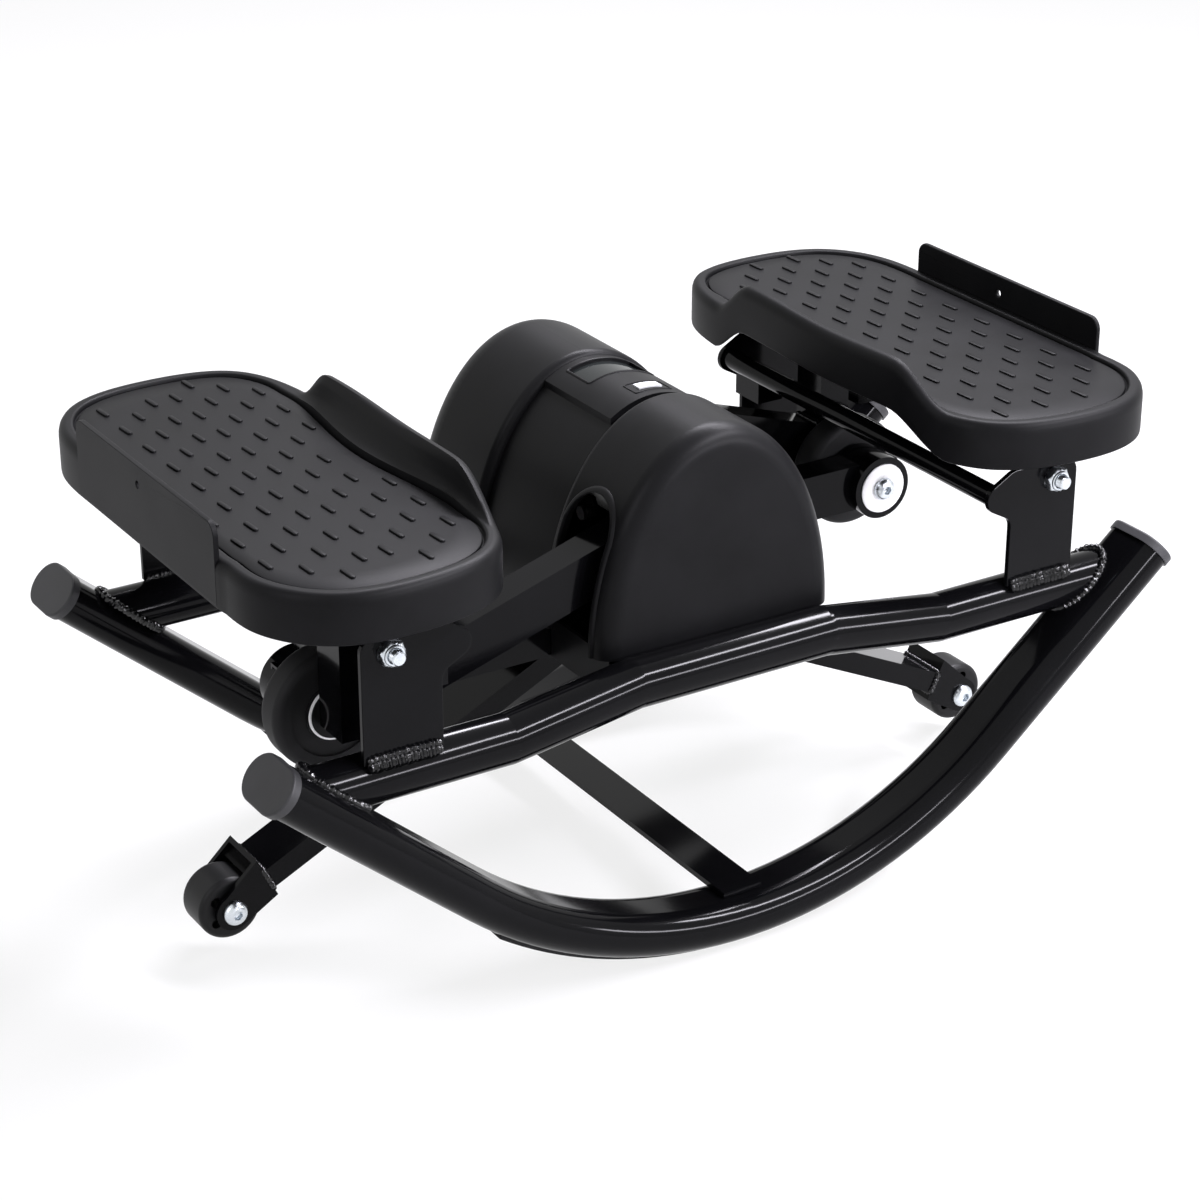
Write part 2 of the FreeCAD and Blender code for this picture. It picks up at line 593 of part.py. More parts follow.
def make_fork(side, mark):
    """Bent plate at the end of a strut that holds the side wheel between two cheeks."""
    body = body_named(f"{side}_fork")
    cheeks = sketch_on(body, "XZ_Plane", f"{side}_fork_cheeks")
    nose, high = "Dim.fork_nose", "Dim.fork_high"
    draw_corners(cheeks, [("-Dim.fork_back", f"-({mark}) * Dim.fork_low"), ("0", f"-({mark}) * {nose}"),
                          ("0", f"({mark}) * {nose}"), ("-Dim.fork_back", f"({mark}) * {high}")])
    gap = "(Dim.wheel_width + 2 * Dim.wheel_gap)"
    wide = f"{gap} + 2 * Dim.fork_cheek_wall"
    pad(body, cheeks, wide)
    tips = sketch_on(body, "XZ_Plane", f"{side}_fork_tips")
    draw_circle(tips, nose)
    pad(body, tips, wide)
    space = sketch_on(body, "XZ_Plane", f"{side}_fork_space")
    draw_corners(space, [("Dim.fork_wall - Dim.fork_back", f"-2 * {high}"),
                         (f"2 * {nose}", f"-2 * {high}"), (f"2 * {nose}", f"2 * {high}"),
                         ("Dim.fork_wall - Dim.fork_back", f"2 * {high}")])
    pocket(body, space, gap)
    bore = sketch_on(body, "XZ_Plane", f"{side}_fork_bore")
    draw_circle(bore, BORE)
    pocket(body, bore, f"{wide} + 2 * Dim.overrun")
    turn = "Dim.strut_drop" if mark > 0 else "180 - Dim.strut_drop"
    place(body, f"{mark} * Dim.axle_x", "0", "Dim.axle_height", ALONG_Y, turn)
    keep(body, f"{side}_fork")


def make_side_wheel(side, mark):
    """Moulded wheel with five lightening holes round its bore."""
    body = body_named(f"{side}_side_wheel")
    sketch = sketch_on(body, "XZ_Plane", f"{side}_wheel_ring")
    draw_circle(sketch, "Dim.wheel_radius")
    draw_circle(sketch, BORE)
    solid = pad(body, sketch, "Dim.wheel_width")
    limit = value("Dim.wheel_radius / 2")
    fillet(body, solid, "Dim.wheel_round",
           lambda edge: edge.BoundBox.XMax > limit and edge.Curve.TypeId == "Part::GeomCircle")
    hole = sketch_on(body, "XZ_Plane", f"{side}_wheel_hole")
    draw_circle(hole, "Dim.wheel_hole_radius", across="Dim.wheel_hole_ring")
    first = pocket(body, hole, "Dim.wheel_width + 2 * Dim.overrun")
    pattern = body.newObject("PartDesign::PolarPattern", f"{side}_wheel_holes")
    pattern.Originals = [first]
    axis = [item for item in body.Origin.OriginFeatures if item.Role == "Y_Axis"][0]
    pattern.Axis = (axis, [""])
    pattern.Angle = 360
    pattern.Occurrences = 5
    body.Tip = pattern
    place(body, f"{mark} * Dim.axle_x", "0", "Dim.axle_height")
    keep(body, f"{side}_side_wheel")


def make_bracket(end, end_sign, side, mark):
    """Upright plate on the chord tube with the pedal hinge and a lobe for the tie rod."""
    name = f"{end}_{side}_bracket"
    body = body_named(name)
    sketch = sketch_on(body, "XZ_Plane", f"{name}_outline")
    foot = ("(Dim.chord_height + sqrt(Dim.chord_radius ^ 2 - (Dim.bracket_offset"
            " - Dim.bracket_thickness / 2 - Dim.chord_offset) ^ 2))")
    cut_size = "Dim.bracket_cut"
    lobe = f"Dim.tie_radius * {LOBE_SHARE}"
    corners = [
        ("Dim.bracket_inner_x", foot), ("Dim.bracket_outer_x", foot),
        ("Dim.bracket_outer_x", f"Dim.bracket_top - {cut_size}"),
        (f"Dim.bracket_outer_x - {cut_size} / 2", "Dim.bracket_top"),
        ("Dim.bracket_inner_x", "Dim.bracket_top"),
        (f"Dim.bracket_lobe_x + {cut_size} / 2", f"Dim.tie_height + {lobe}"),
        ("Dim.bracket_lobe_x", "Dim.tie_height"),
        (f"Dim.bracket_lobe_x + {cut_size} / 2", f"Dim.tie_height - {lobe}"),
        ("Dim.bracket_inner_x", "Dim.bracket_neck")]
    draw_corners(sketch, [(f"{mark} * ({across})", up) for across, up in corners])
    draw_circle(sketch, BORE, f"{mark} * Dim.hinge_x", "Dim.hinge_height")
    pad(body, sketch, "Dim.bracket_thickness")
    place(body, y=f"{end_sign} * Dim.bracket_offset")
    keep(body, name)


def make_tie_rod(side, mark):
    """Tube between the lobes of the front and back brackets."""
    end = "(Dim.bracket_offset - Dim.bracket_thickness / 2)"
    item = ring(f"{side}_tie_rod", "Dim.tie_radius", "(Dim.tie_radius - Dim.tie_wall)",
                f"-{end}", end, f"{mark} * Dim.tie_x", "Dim.tie_height")
    keep(item, f"{side}_tie_rod")


def make_stop_block(side, mark):
    """Block behind the bracket plate, just under the tie rod."""
    face = "(Dim.bracket_offset - Dim.bracket_thickness / 2)"
    low, high = mirrored_span(mark, f"{face} - Dim.stop_length", face)
    half = "Dim.stop_width / 2"
    top = "(Dim.tie_height - Dim.stop_drop)"
    item = block(f"{side}_stop_block", (f"{mark} * Dim.stop_x - {half}", low, f"{top} - Dim.stop_height"),
                 (f"{mark} * Dim.stop_x + {half}", high, top))
    keep(item, f"{side}_stop_block")


def make_hinge_shafts():
    """Long bolts through brackets and lever sleeves, and short ones through the wheels."""
    nuts = []
    face = "(Dim.bracket_offset + Dim.bracket_thickness / 2)"
    for side, mark in SIDES.items():
        x, z = f"{mark} * Dim.hinge_x", "Dim.hinge_height"
        shank = rod(f"{side}_hinge_shank", "Dim.bolt_radius",
                    f"-{face} - Dim.nut_depth - Dim.bolt_radius", face, x, z)
        head = hex_along_y(f"{side}_hinge_head", "Dim.nut_radius", face,
                           f"{face} + Dim.bolt_head_depth", x, z)
        keep(join(f"{side}_hinge_bolt", [shank, head]), f"{side}_hinge_bolt")
        nuts.append(hex_nut(f"{side}_hinge_nut", f"-{face} - Dim.nut_depth", f"-{face}", x, z))
    bolts = []
    cheek = "(Dim.wheel_width / 2 + Dim.wheel_gap + Dim.fork_cheek_wall)"
    for side, mark in SIDES.items():
        x, z = f"{mark} * Dim.axle_x", "Dim.axle_height"
        shank = rod(f"{side}_axle_shank", "Dim.bolt_radius", f"-{cheek}",
                    f"{cheek} + Dim.nut_depth + Dim.overrun", x, z)
        head = rod(f"{side}_axle_head", "Dim.bolt_head_radius",
                   f"-{cheek} - Dim.bolt_head_depth", f"-{cheek}", x, z)
        bolts.append(join(f"{side}_axle_bolt", [shank, head]))
        nuts.append(hex_nut(f"{side}_axle_nut", cheek, f"{cheek} + Dim.nut_depth", x, z))
    keep(group("wheel_axle_bolts", bolts), "wheel_axle_bolts")
    keep(group("lock_nuts", nuts), "lock_nuts")


def make_lever(side, mark):
    """Hinge sleeve, post, sloping arm and the carrier plate under one pedal."""
    name = f"{side}_lever"
    x = f"{mark} * Dim.hinge_x"
    carrier_low = "(Dim.carrier_top - Dim.carrier_thickness)"
    sleeve = rod(f"{name}_sleeve", "Dim.sleeve_radius", "-Dim.sleeve_half_length",
                 "Dim.sleeve_half_length", x, "Dim.hinge_height")
    post_y = f"{mark} * Dim.arm_offset"
    half_post, half_width = "Dim.post_thickness / 2", "Dim.post_width / 2"
    post = block(f"{name}_post",
                 (f"{mark} * Dim.post_x - {half_post}", f"{post_y} - {half_width}", "Dim.post_bottom"),
                 (f"{mark} * Dim.post_x + {half_post}", f"{post_y} + {half_width}", carrier_low))
    pieces = [sleeve, post]
    saddles = {"wide": (f"{-mark} * Dim.saddle_y", "Dim.saddle_width"),
               "slim": (f"{mark} * Dim.mid_saddle_y", "Dim.saddle_width / 2")}
    for kind, (y, width) in saddles.items():
        pieces.append(block(f"{name}_{kind}_saddle",
                            (f"{x} - Dim.saddle_half", f"{y} - {width} / 2", "Dim.saddle_bottom"),
                            (f"{x} + Dim.saddle_half", f"{y} + {width} / 2", carrier_low)))
    pieces.append(block(f"{name}_carrier",
                        (f"{x} - Dim.carrier_half_x", "-Dim.carrier_half_y", carrier_low),
                        (f"{x} + Dim.carrier_half_x", "Dim.carrier_half_y", "Dim.carrier_top")))
    # the arm rises inwards from the post to just past the middle of the machine
    arm = body_named(f"{name}_arm")
    root_x = f"(Dim.post_x - {half_post})"
    run = f"(({root_x} + Dim.pin_end) / cos({SLOPE}))"
    root = sketch_on(arm, "YZ_Plane", f"{name}_arm_section", "-Dim.arm_overlap")
    draw_rectangle(root, "Dim.arm_width / 2", "Dim.arm_height / 2")
    pad(arm, root, f"{run} + Dim.arm_overlap", symmetric=False)
    hollow = sketch_on(arm, "YZ_Plane", f"{name}_arm_hollow", f"{run} / 2")
    draw_rectangle(hollow, "(Dim.arm_width / 2 - Dim.arm_wall)", "(Dim.arm_height / 2 - Dim.arm_wall)")
    pocket(arm, hollow, f"{run} + 2 * Dim.overrun")
    turn = "-Dim.arm_slope" if mark < 0 else "180 + Dim.arm_slope"
    place(arm, f"{mark} * {root_x}", post_y, "Dim.arm_root_z", ALONG_Y, turn)
    pieces.append(arm)
    ends = ("-Dim.sleeve_half_length - Dim.overrun", "Dim.sleeve_half_length + Dim.overrun")
    holes = [rod(f"{name}_bore", BORE, *ends, x, "Dim.hinge_height"),
             rod(f"{name}_tie_room", "Dim.tie_radius + Dim.tie_gap", *ends, f"{mark} * Dim.tie_x",
                 "Dim.tie_height")]
    for across in (-1, 1):
        for along in (-1, 1):
            holes.append(upright(f"{name}_hole_{len(holes)}", "Dim.screw_radius + Dim.shaft_clearance",
                                 f"{carrier_low} - Dim.overrun", "Dim.carrier_top + Dim.overrun",
                                 f"{mark} * (Dim.hinge_x + {across} * Dim.foot_x)",
                                 f"{along} * Dim.foot_y"))
    keep(cut(name, join(f"{name}_solid", pieces), join(f"{name}_holes", holes)), name)


# Pedals

def pedal_wire(mark, inset=0):
    """Outline of a pedal seen from above, with the foot's waist on its inner side."""
    middle, wide, long = value("Dim.pedal_x"), value("Dim.pedal_half_width"), value("Dim.pedal_half_length")
    # places round the edge as shares of half the width and half the length
    edge_shares = [(-1.0, 0.05), (-0.98, 0.40), (-0.92, 0.68), (-0.62, 0.92), (0.0, 1.0), (0.58, 0.92),
                   (0.93, 0.70), (1.0, 0.40), (0.98, -0.05), (0.98, -0.50), (0.92, -0.74),
                   (0.52, -0.95), (-0.10, -1.0), (-0.62, -0.91), (-0.90, -0.72), (-0.99, -0.40)]
    points = [Vector(mark * (middle + across * wide), along * long, 0) for across, along in edge_shares]
    curve = Part.BSplineCurve()
    curve.interpolate(Points=points, PeriodicFlag=True)
    if inset:
        # points of the edge moved inwards, square to it
        steps = 3 * len(edge_shares)
        span = curve.LastParameter - curve.FirstParameter
        moved = []
        for step in range(steps):
            parameter = curve.FirstParameter + span * step / steps
            along = curve.tangent(parameter)[0]
            moved.append(curve.value(parameter) + Vector(along.y, -along.x, 0) * mark * inset)
        curve = Part.BSplineCurve()
        curve.interpolate(Points=moved, PeriodicFlag=True)
    return Part.Wire(curve.toShape())


def pedal_slab(mark, inset, low, high):
    """Flat slice of the pedal between two heights."""
    face = Part.Face(pedal_wire(mark, inset))
    face.translate(Vector(0, 0, low))
    return face.extrude(Vector(0, 0, high - low))


def box_between(low, high):
    """Box between two corners in any order."""
    start = [min(pair) for pair in zip(low, high)]
    end = [max(pair) for pair in zip(low, high)]
    sides = [far - near for near, far in zip(start, end)]
    return Part.makeBox(*sides, Vector(*start))


def wall_profile(mark, near_x, far_x, outline):
    """Solid that shows the outline from the side and spans two places along X."""
    corners = [Vector(mark * near_x, along, up) for along, up in outline]
    face = Part.Face(Part.makePolygon(corners + corners[:1]))
    return face.extrude(Vector(mark * (far_x - near_x), 0, 0))


def make_pedal(side, mark):
    """Moulded pedal: deck, skirt, raised lip towards the housing and outer flange."""
    top, wall = value("Dim.pedal_top"), value("Dim.pedal_wall")
    bottom = top - value("Dim.pedal_skirt")
    recess = top - value("Dim.mat_sink") - value("Dim.mat_thickness")
    deck_low = recess - value("Dim.pedal_deck")
    over = value("Dim.overrun")
    inner_x = value("Dim.pedal_x - Dim.pedal_half_width")
    outer_x = value("Dim.pedal_x + Dim.pedal_half_width")
    body = pedal_slab(mark, 0, bottom, top)
    body = body.cut(pedal_slab(mark, wall, bottom - over, deck_low))
    body = body.cut(pedal_slab(mark, value("Dim.mat_inset"), recess, top + over))
    # raised lip along the waist, with sloping ends
    front, back = -value("Dim.lip_front"), value("Dim.lip_back")
    slope, lip_top = value("Dim.lip_slope"), top + value("Dim.lip_height")
    reach = value("Dim.lip_reach_x")
    lip = pedal_slab(mark, 0, top, lip_top).cut(
        pedal_slab(mark, value("Dim.lip_wall"), top - over, lip_top + over))
    lip = lip.common(wall_profile(mark, inner_x - over, inner_x + reach,
                                  [(front, top), (front + slope, lip_top),
                                   (back - slope, lip_top), (back, top)]))
    body = body.fuse(lip)
    # the skirt under the lip is arched
    arch = bottom + value("Dim.arch_height")
    body = body.cut(wall_profile(mark, inner_x - over, inner_x + value("Dim.arch_depth"),
                                 [(front + slope / 2, bottom - over), (front + 2 * slope, arch),
                                  (back - 2 * slope, arch), (back - slope / 2, bottom - over)]))
    # flange on the outer edge with a small hole
    half, flange_wall = value("Dim.flange_half"), value("Dim.flange_wall")
    flange_top = top + value("Dim.flange_height")
    flange = box_between((mark * (outer_x - flange_wall), -half, deck_low),
                         (mark * outer_x, half, flange_top))
    hole_z = top + value("Dim.flange_height") / 2
    hole = Part.makeCylinder(value("Dim.flange_hole"), flange_wall + 2 * over,
                             Vector(mark * (outer_x + over), 0, hole_z), Vector(-mark, 0, 0))
    body = body.fuse(flange).cut(hole)
    # feet that stand on the carrier plate, with blind holes for the screws
    for across in (-1, 1):
        for along in (-1, 1):
            spot = Vector(mark * (value("Dim.hinge_x") + across * value("Dim.foot_x")),
                          along * value("Dim.foot_y"), value("Dim.carrier_top"))
            body = body.fuse(Part.makeCylinder(value("Dim.foot_radius"), recess - spot.z, spot))
            body = body.cut(Part.makeCylinder(value("Dim.screw_radius"),
                                              value("Dim.screw_length - Dim.carrier_thickness"), spot))
    keep(shape_feature(f"{side}_pedal", body.removeSplitter()), f"{side}_pedal")
    gap = value("Dim.mat_gap")
    mat = pedal_slab(mark, value("Dim.mat_inset") + gap, recess, recess + value("Dim.mat_thickness"))
    keep(shape_feature(f"{side}_pedal_mat", mat), f"{side}_pedal_mat")


def make_pedal_screws(side, mark):
    """Four screws from under the carrier plate into the pedal's feet."""
    screws = []
    low = "(Dim.carrier_top - Dim.carrier_thickness)"
    for across in (-1, 1):
        for along in (-1, 1):
            name = f"{side}_pedal_screw_{'in' if across < 0 else 'out'}_{'front' if along < 0 else 'back'}"
            x = f"{mark} * (Dim.hinge_x + {across} * Dim.foot_x)"
            y = f"{along} * Dim.foot_y"
            screws.append(screw(name, x, y, low, "Dim.screw_length"))
    keep(group(f"{side}_pedal_screws", screws), f"{side}_pedal_screws")


# Balance beam and its bearing

def make_balance():
    """Beam that passes the movement of one lever on to the other."""
    middle, half_depth = "Dim.balance_height", "(Dim.balance_depth / 2)"
    half_width, half = "(Dim.balance_width / 2)", "Dim.balance_half"
    wall = "Dim.balance_wall"
    tube = cut("balance_tube",
               block("balance_outside", (f"-{half_width}", f"-{half}", f"{middle} - {half_depth}"),
                     (half_width, half, f"{middle} + {half_depth}")),
               block("balance_inside",
                     (f"{wall} - {half_width}", f"-{half} - Dim.overrun",
                      f"{middle} - {half_depth} + {wall}"),
                     (f"{half_width} - {wall}", f"{half} + Dim.overrun",
                      f"{middle} + {half_depth} - {wall}")))
    bore = doc.addObject("Part::Cylinder", "balance_bore")
    bind(bore, {"Radius": "Dim.pin_radius + Dim.shaft_clearance",
                "Height": "Dim.balance_width + 2 * Dim.overrun"})
    place(bore, f"-{half_width} - Dim.overrun", "0", middle, ALONG_Y, QUARTER_TURN)
    keep(cut("balance_beam", tube, bore), "balance_beam")
    pads = []
    for end, sign in ENDS.items():
        body = body_named(f"{end}_beam_pad")
        sketch = sketch_on(body, "XY_Plane", f"{end}_pad_outline")
        draw_circle(sketch, "Dim.pad_radius")
        solid = pad(body, sketch, "Dim.pad_height", symmetric=False)
        top = value("Dim.pad_height")
        fillet(body, solid, "Dim.pad_round",
               lambda edge: edge.BoundBox.ZMin > top / 2)
        place(body, "0", f"{sign} * Dim.arm_offset", f"{middle} + {half_depth}")
        pads.append(body)
    keep(group("balance_pads", pads), "balance_pads")
    magnet = upright("sensor_magnet", "Dim.magnet_radius", f"{middle} - {half_depth} - Dim.magnet_depth",
                     f"{middle} - {half_depth}", "0", "Dim.magnet_y")
    keep(magnet, "sensor_magnet")
    width = "Dim.sensor_width / 2"
    sensor = block("motion_sensor", (f"-{width}", f"Dim.magnet_y - {width}", BEAM_TOP),
                   (width, f"Dim.magnet_y + {width}", f"{BEAM_TOP} + Dim.sensor_depth"))
    keep(sensor, "motion_sensor")


def make_balance_bracket():
    """Two cheeks on the base plate and the pin that the balance beam rocks on."""
    body = body_named("balance_bracket")
    sketch = sketch_on(body, "YZ_Plane", "balance_bracket_outline")
    half, top = "Dim.cheek_half", "(Dim.balance_height + Dim.cheek_top)"
    draw_corners(sketch, [(f"-{half}", PLATE_TOP), (half, PLATE_TOP), (half, "Dim.balance_height"),
                          (f"{half} / 2", top), (f"-{half} / 2", top), (f"-{half}", "Dim.balance_height")])
    draw_circle(sketch, "Dim.pin_radius", up="Dim.balance_height")
    gap = "(Dim.balance_width + 2 * Dim.cheek_gap)"
    pad(body, sketch, f"{gap} + 2 * Dim.cheek_thickness")
    space = sketch_on(body, "YZ_Plane", "balance_bracket_space")
    floor = f"({PLATE_TOP} + Dim.cheek_thickness)"
    draw_corners(space, [(f"-{half} - Dim.overrun", floor), (f"{half} + Dim.overrun", floor),
                         (f"{half} + Dim.overrun", f"{top} + Dim.overrun"),
                         (f"-{half} - Dim.overrun", f"{top} + Dim.overrun")])
    pocket(body, space, gap)
    keep(body, "balance_bracket")
    reach = f"({gap} / 2 + 2 * Dim.cheek_thickness)"
    pin = doc.addObject("Part::Cylinder", "balance_pin")
    bind(pin, {"Radius": "Dim.pin_radius", "Height": f"2 * {reach}"})
    place(pin, f"-{reach}", "0", "Dim.balance_height", ALONG_Y, QUARTER_TURN)
    keep(pin, "balance_pin")


# Housing and counter

def arch_solid(half, rise, low_y, high_y):
    """Solid under half an ellipse that stands on the housing's base."""
    base = value("Dim.housing_base")
    middle = Vector(0, low_y, base)
    if rise > half:
        ellipse = Part.Ellipse(middle + Vector(0, 0, rise), middle + Vector(half, 0, 0), middle)
    else:
        ellipse = Part.Ellipse(middle + Vector(half, 0, 0), middle + Vector(0, 0, rise), middle)
    disc = Part.Face(Part.Wire(ellipse.toShape())).extrude(Vector(0, high_y - low_y, 0))
    below = box_between((-2 * half, low_y - half, base - 2 * rise), (2 * half, high_y + half, base))
    return disc.cut(below)


def round_arch_ends(solid, places, radius):
    """Round the curved edges of an arch that lie at the given places along Y."""
    near = radius * CLOSE_SHARE
    edges = [edge for edge in solid.Edges
             if edge.BoundBox.YLength < near and edge.BoundBox.ZLength > radius
             and any(abs(edge.BoundBox.YMin - place_y) < near for place_y in places)]
    return solid.makeFillet(radius, edges)


def housing_solid(inset):
    """Two tall lobes joined by a lower waist, all moved in by the same amount."""
    lobe, lobe_rise = value("Dim.lobe_half") - inset, value("Dim.lobe_rise") - inset
    waist, waist_rise = value("Dim.waist_half") - inset, value("Dim.waist_rise") - inset
    front, back = inset - value("Dim.housing_front"), value("Dim.housing_back") - inset
    front_inner = -value("Dim.lobe_front_inner") - inset
    back_inner = value("Dim.lobe_back_inner") + inset
    face_round = value("Dim.face_round") - inset
    inner_round = value("Dim.inner_round")
    first = arch_solid(lobe, lobe_rise, front, front_inner)
    first = round_arch_ends(first, [front], face_round)
    second = arch_solid(lobe, lobe_rise, back_inner, back)
    second = round_arch_ends(second, [back], value("Dim.back_round") - inset)
    if not inset:
        first = round_arch_ends(first, [front_inner], inner_round)
        second = round_arch_ends(second, [back_inner], inner_round)
    middle = arch_solid(waist, waist_rise, (front + front_inner) / 2, (back + back_inner) / 2)
    return first.fuse([second, middle]).removeSplitter()


def slot_solid(mark):
    """Arched opening in one side wall that lets a sloping arm move up and down."""
    slot = "Dim.slot" if mark < 0 else "Dim.slot_back"
    half, top = value(f"{slot}_half"), value(f"{slot}_top")
    base, over = value("Dim.housing_base"), value("Dim.overrun")
    middle = mark * value(f"{slot}_offset")
    outer = value("Dim.lobe_half") + over
    inner = value("Dim.lobe_half") * SLOT_DEPTH_SHARE
    straight = box_between((mark * inner, middle - half, base - over),
                           (mark * outer, middle + half, top - half))
    crown = Part.makeCylinder(half, outer - inner, Vector(mark * inner, middle, top - half),
                              Vector(mark, 0, 0))
    return straight.fuse(crown)


def make_housing():
    """Moulded shell over the balance beam."""
    base, over = value("Dim.housing_base"), value("Dim.overrun")
    shell = housing_solid(0).cut(housing_solid(value("Dim.housing_wall")))
    for mark in SIDES.values():
        shell = shell.cut(slot_solid(mark))
        near = value("Dim.beam_inner - Dim.notch_gap")
        far = value("Dim.beam_inner + Dim.beam_width + Dim.notch_gap")
        wide = value("Dim.lobe_half") + over
        shell = shell.cut(box_between((0, mark * near, base - over),
                                      (mark * wide, mark * far, value(BEAM_TOP) + value("Dim.notch_gap"))))
    shell = shell.cut(counter_opening()).fuse(board_posts())
    keep(shape_feature("housing", shell.removeSplitter()), "housing")


def counter_opening():
    """Space in the top of the waist for the window, the key and the board under them."""
    gap = value("Dim.window_gap")
    left, right = value("Dim.window_left") + gap, value("Dim.window_right") + gap
    front, back = value("Dim.key_y + Dim.key_width"), value("Dim.window_back") + gap
    high = value("Dim.housing_base + Dim.waist_rise")
    return box_between((-left, -front, high - value("Dim.board_drop") * OPENING_DEPTH_SHARE),
                       (right, back, high + value("Dim.bezel_thickness")))


def board_posts():
    """Four posts under the crown of the waist that carry the counter board."""
    low = value("Dim.housing_base + Dim.waist_rise - Dim.board_drop")
    reach, shift = value("Dim.board_half - Dim.board_post"), value("Dim.board_shift")
    crown = arch_solid(value("Dim.waist_half - Dim.housing_wall / 2"),
                       value("Dim.waist_rise - Dim.housing_wall / 2"), -2 * reach, 2 * reach)
    posts = [Part.makeCylinder(value("Dim.board_post"), value("Dim.board_drop"),
                               Vector(across * reach, along * reach - shift, low)).common(crown)
             for across in (-1, 1) for along in (-1, 1)]
    return posts


def bezel_layer(low_inset, high_inset):
    """Curved layer that follows the top of the waist."""
    front, back = -value("Dim.bezel_front"), value("Dim.bezel_back")
    half, rise = value("Dim.waist_half"), value("Dim.waist_rise")
    over = value("Dim.overrun")
    outside = arch_solid(half + high_inset, rise + high_inset, front, back)
    inside = arch_solid(half + low_inset, rise + low_inset, front - over, back + over)
    return outside.cut(inside)


def column(left, right, front, back):
    """Upright block through the top of the waist."""
    base = value("Dim.housing_base")
    high = base + 2 * value("Dim.waist_rise")
    return box_between((left, front, base), (right, back, high))


def make_counter():
    """Bezel, window, key, board and cell of the step counter."""
    thick = value("Dim.bezel_thickness")
    window = (-value("Dim.window_left"), value("Dim.window_right"),
              -value("Dim.window_front"), value("Dim.window_back"))
    key = (value("Dim.key_x - Dim.key_length / 2"), value("Dim.key_x + Dim.key_length / 2"),
           value("-Dim.key_y - Dim.key_width / 2"), value("-Dim.key_y + Dim.key_width / 2"))
    gap = value("Dim.key_gap")
    layer = bezel_layer(0, thick).common(
        column(-value("Dim.bezel_left"), value("Dim.bezel_right"), -value("Dim.bezel_front"),
               value("Dim.bezel_back")))
    opening = (key[0] - gap, key[1] + gap, key[2] - gap, key[3] + gap)
    bezel = layer.cut(column(*window)).cut(column(*opening))
    keep(shape_feature("display_bezel", bezel), "display_bezel")
    glass = bezel_layer(0, thick / 2).common(column(*window))
    keep(shape_feature("display_window", glass), "display_window")
    stem = -value("Dim.key_stem")
    cap = bezel_layer(stem, thick + value("Dim.key_rise")).common(column(*key))
    keep(shape_feature("mode_key", cap), "mode_key")
    high = "(Dim.housing_base + Dim.waist_rise - Dim.board_drop)"
    half = "Dim.board_half"
    shift = "Dim.board_shift"
    board = block("counter_board",
                  (f"-{half}", f"-{half} - {shift}", f"{high} - Dim.board_thickness"),
                  (half, f"{half} - {shift}", high))
    keep(board, "counter_board")
    cell = doc.addObject("Part::Cylinder", "counter_cell")
    bind(cell, {"Radius": "Dim.cell_radius", "Height": "Dim.cell_length"})
    place(cell, "-Dim.cell_length / 2", f"-{shift}",
          f"{high} - Dim.board_thickness - Dim.cell_radius", ALONG_Y, QUARTER_TURN)
    keep(cell, "counter_cell")


def make_tray():
    """Low tray between the chord tubes that the housing stands on."""
    half_x, wall = "Dim.tray_half_x", "Dim.tray_wall"
    tray = cut("tray_walls", block("tray_outside", (f"-{half_x}", "-Dim.tray_front", PLATE_TOP),
                                   (half_x, "Dim.tray_back", "Dim.housing_base")),
               block("tray_inside",
                     (f"{wall} - {half_x}", f"{wall} - Dim.tray_front", f"{PLATE_TOP} - Dim.overrun"),
                     (f"{half_x} - {wall}", f"Dim.tray_back - {wall}",
                      "Dim.housing_base + Dim.overrun")))
    for side, mark in SIDES.items():
        low, high = mirrored_span(mark, "Dim.beam_inner - Dim.notch_gap",
                                  "Dim.beam_inner + Dim.beam_width + Dim.notch_gap")
        ends = (f"-{half_x} - Dim.overrun", "0") if mark < 0 else ("0", f"{half_x} + Dim.overrun")
        notch = block(f"tray_notch_{side}", (ends[0], low, f"{PLATE_TOP} - Dim.overrun"),
                      (ends[1], high, "Dim.housing_base + Dim.overrun"))
        tray = cut(f"tray_open_{side}", tray, notch)
    keep(tray, "base_tray")


for end_name, end_mark in ENDS.items():
    make_rocker(end_name, end_mark)
    make_grip(end_name, end_mark)
    make_chord(end_name, end_mark)
    for side_name, side_mark in SIDES.items():
        make_rocker_cap(end_name, end_mark, side_name, side_mark)
        make_bracket(end_name, end_mark, side_name, side_mark)
make_crossbar()
make_base_plate()
for side_name, side_mark in SIDES.items():
    make_roller_beam(side_name, side_mark)
    make_roller(side_name, side_mark)
    make_strut(side_name, side_mark)
    make_fork(side_name, side_mark)
    make_side_wheel(side_name, side_mark)
    make_tie_rod(side_name, side_mark)
    make_stop_block(side_name, side_mark)
    make_lever(side_name, side_mark)
    make_pedal(side_name, side_mark)
    make_pedal_screws(side_name, side_mark)
make_roller_bolts()
make_hinge_shafts()
make_balance()
make_balance_bracket()
make_tray()
make_housing()
make_counter()

doc.recompute()
failed = [item.Name for item in doc.Objects if "Invalid" in item.State or "Error" in item.State]
broken = [name for name, item in parts.items() if item.Shape.isNull() or not item.Shape.isValid()]
if failed or broken:
    raise RuntimeError(f"failed objects {failed}, broken shapes {broken}")

os.makedirs("parts", exist_ok=True)
for name, item in parts.items():
    item.Shape.exportStep(f"parts/{name}.step")
print(len(parts), "pieces written")
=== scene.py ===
import json
import math

import bmesh
import bpy
import numpy as np
from mathutils import Matrix, Vector


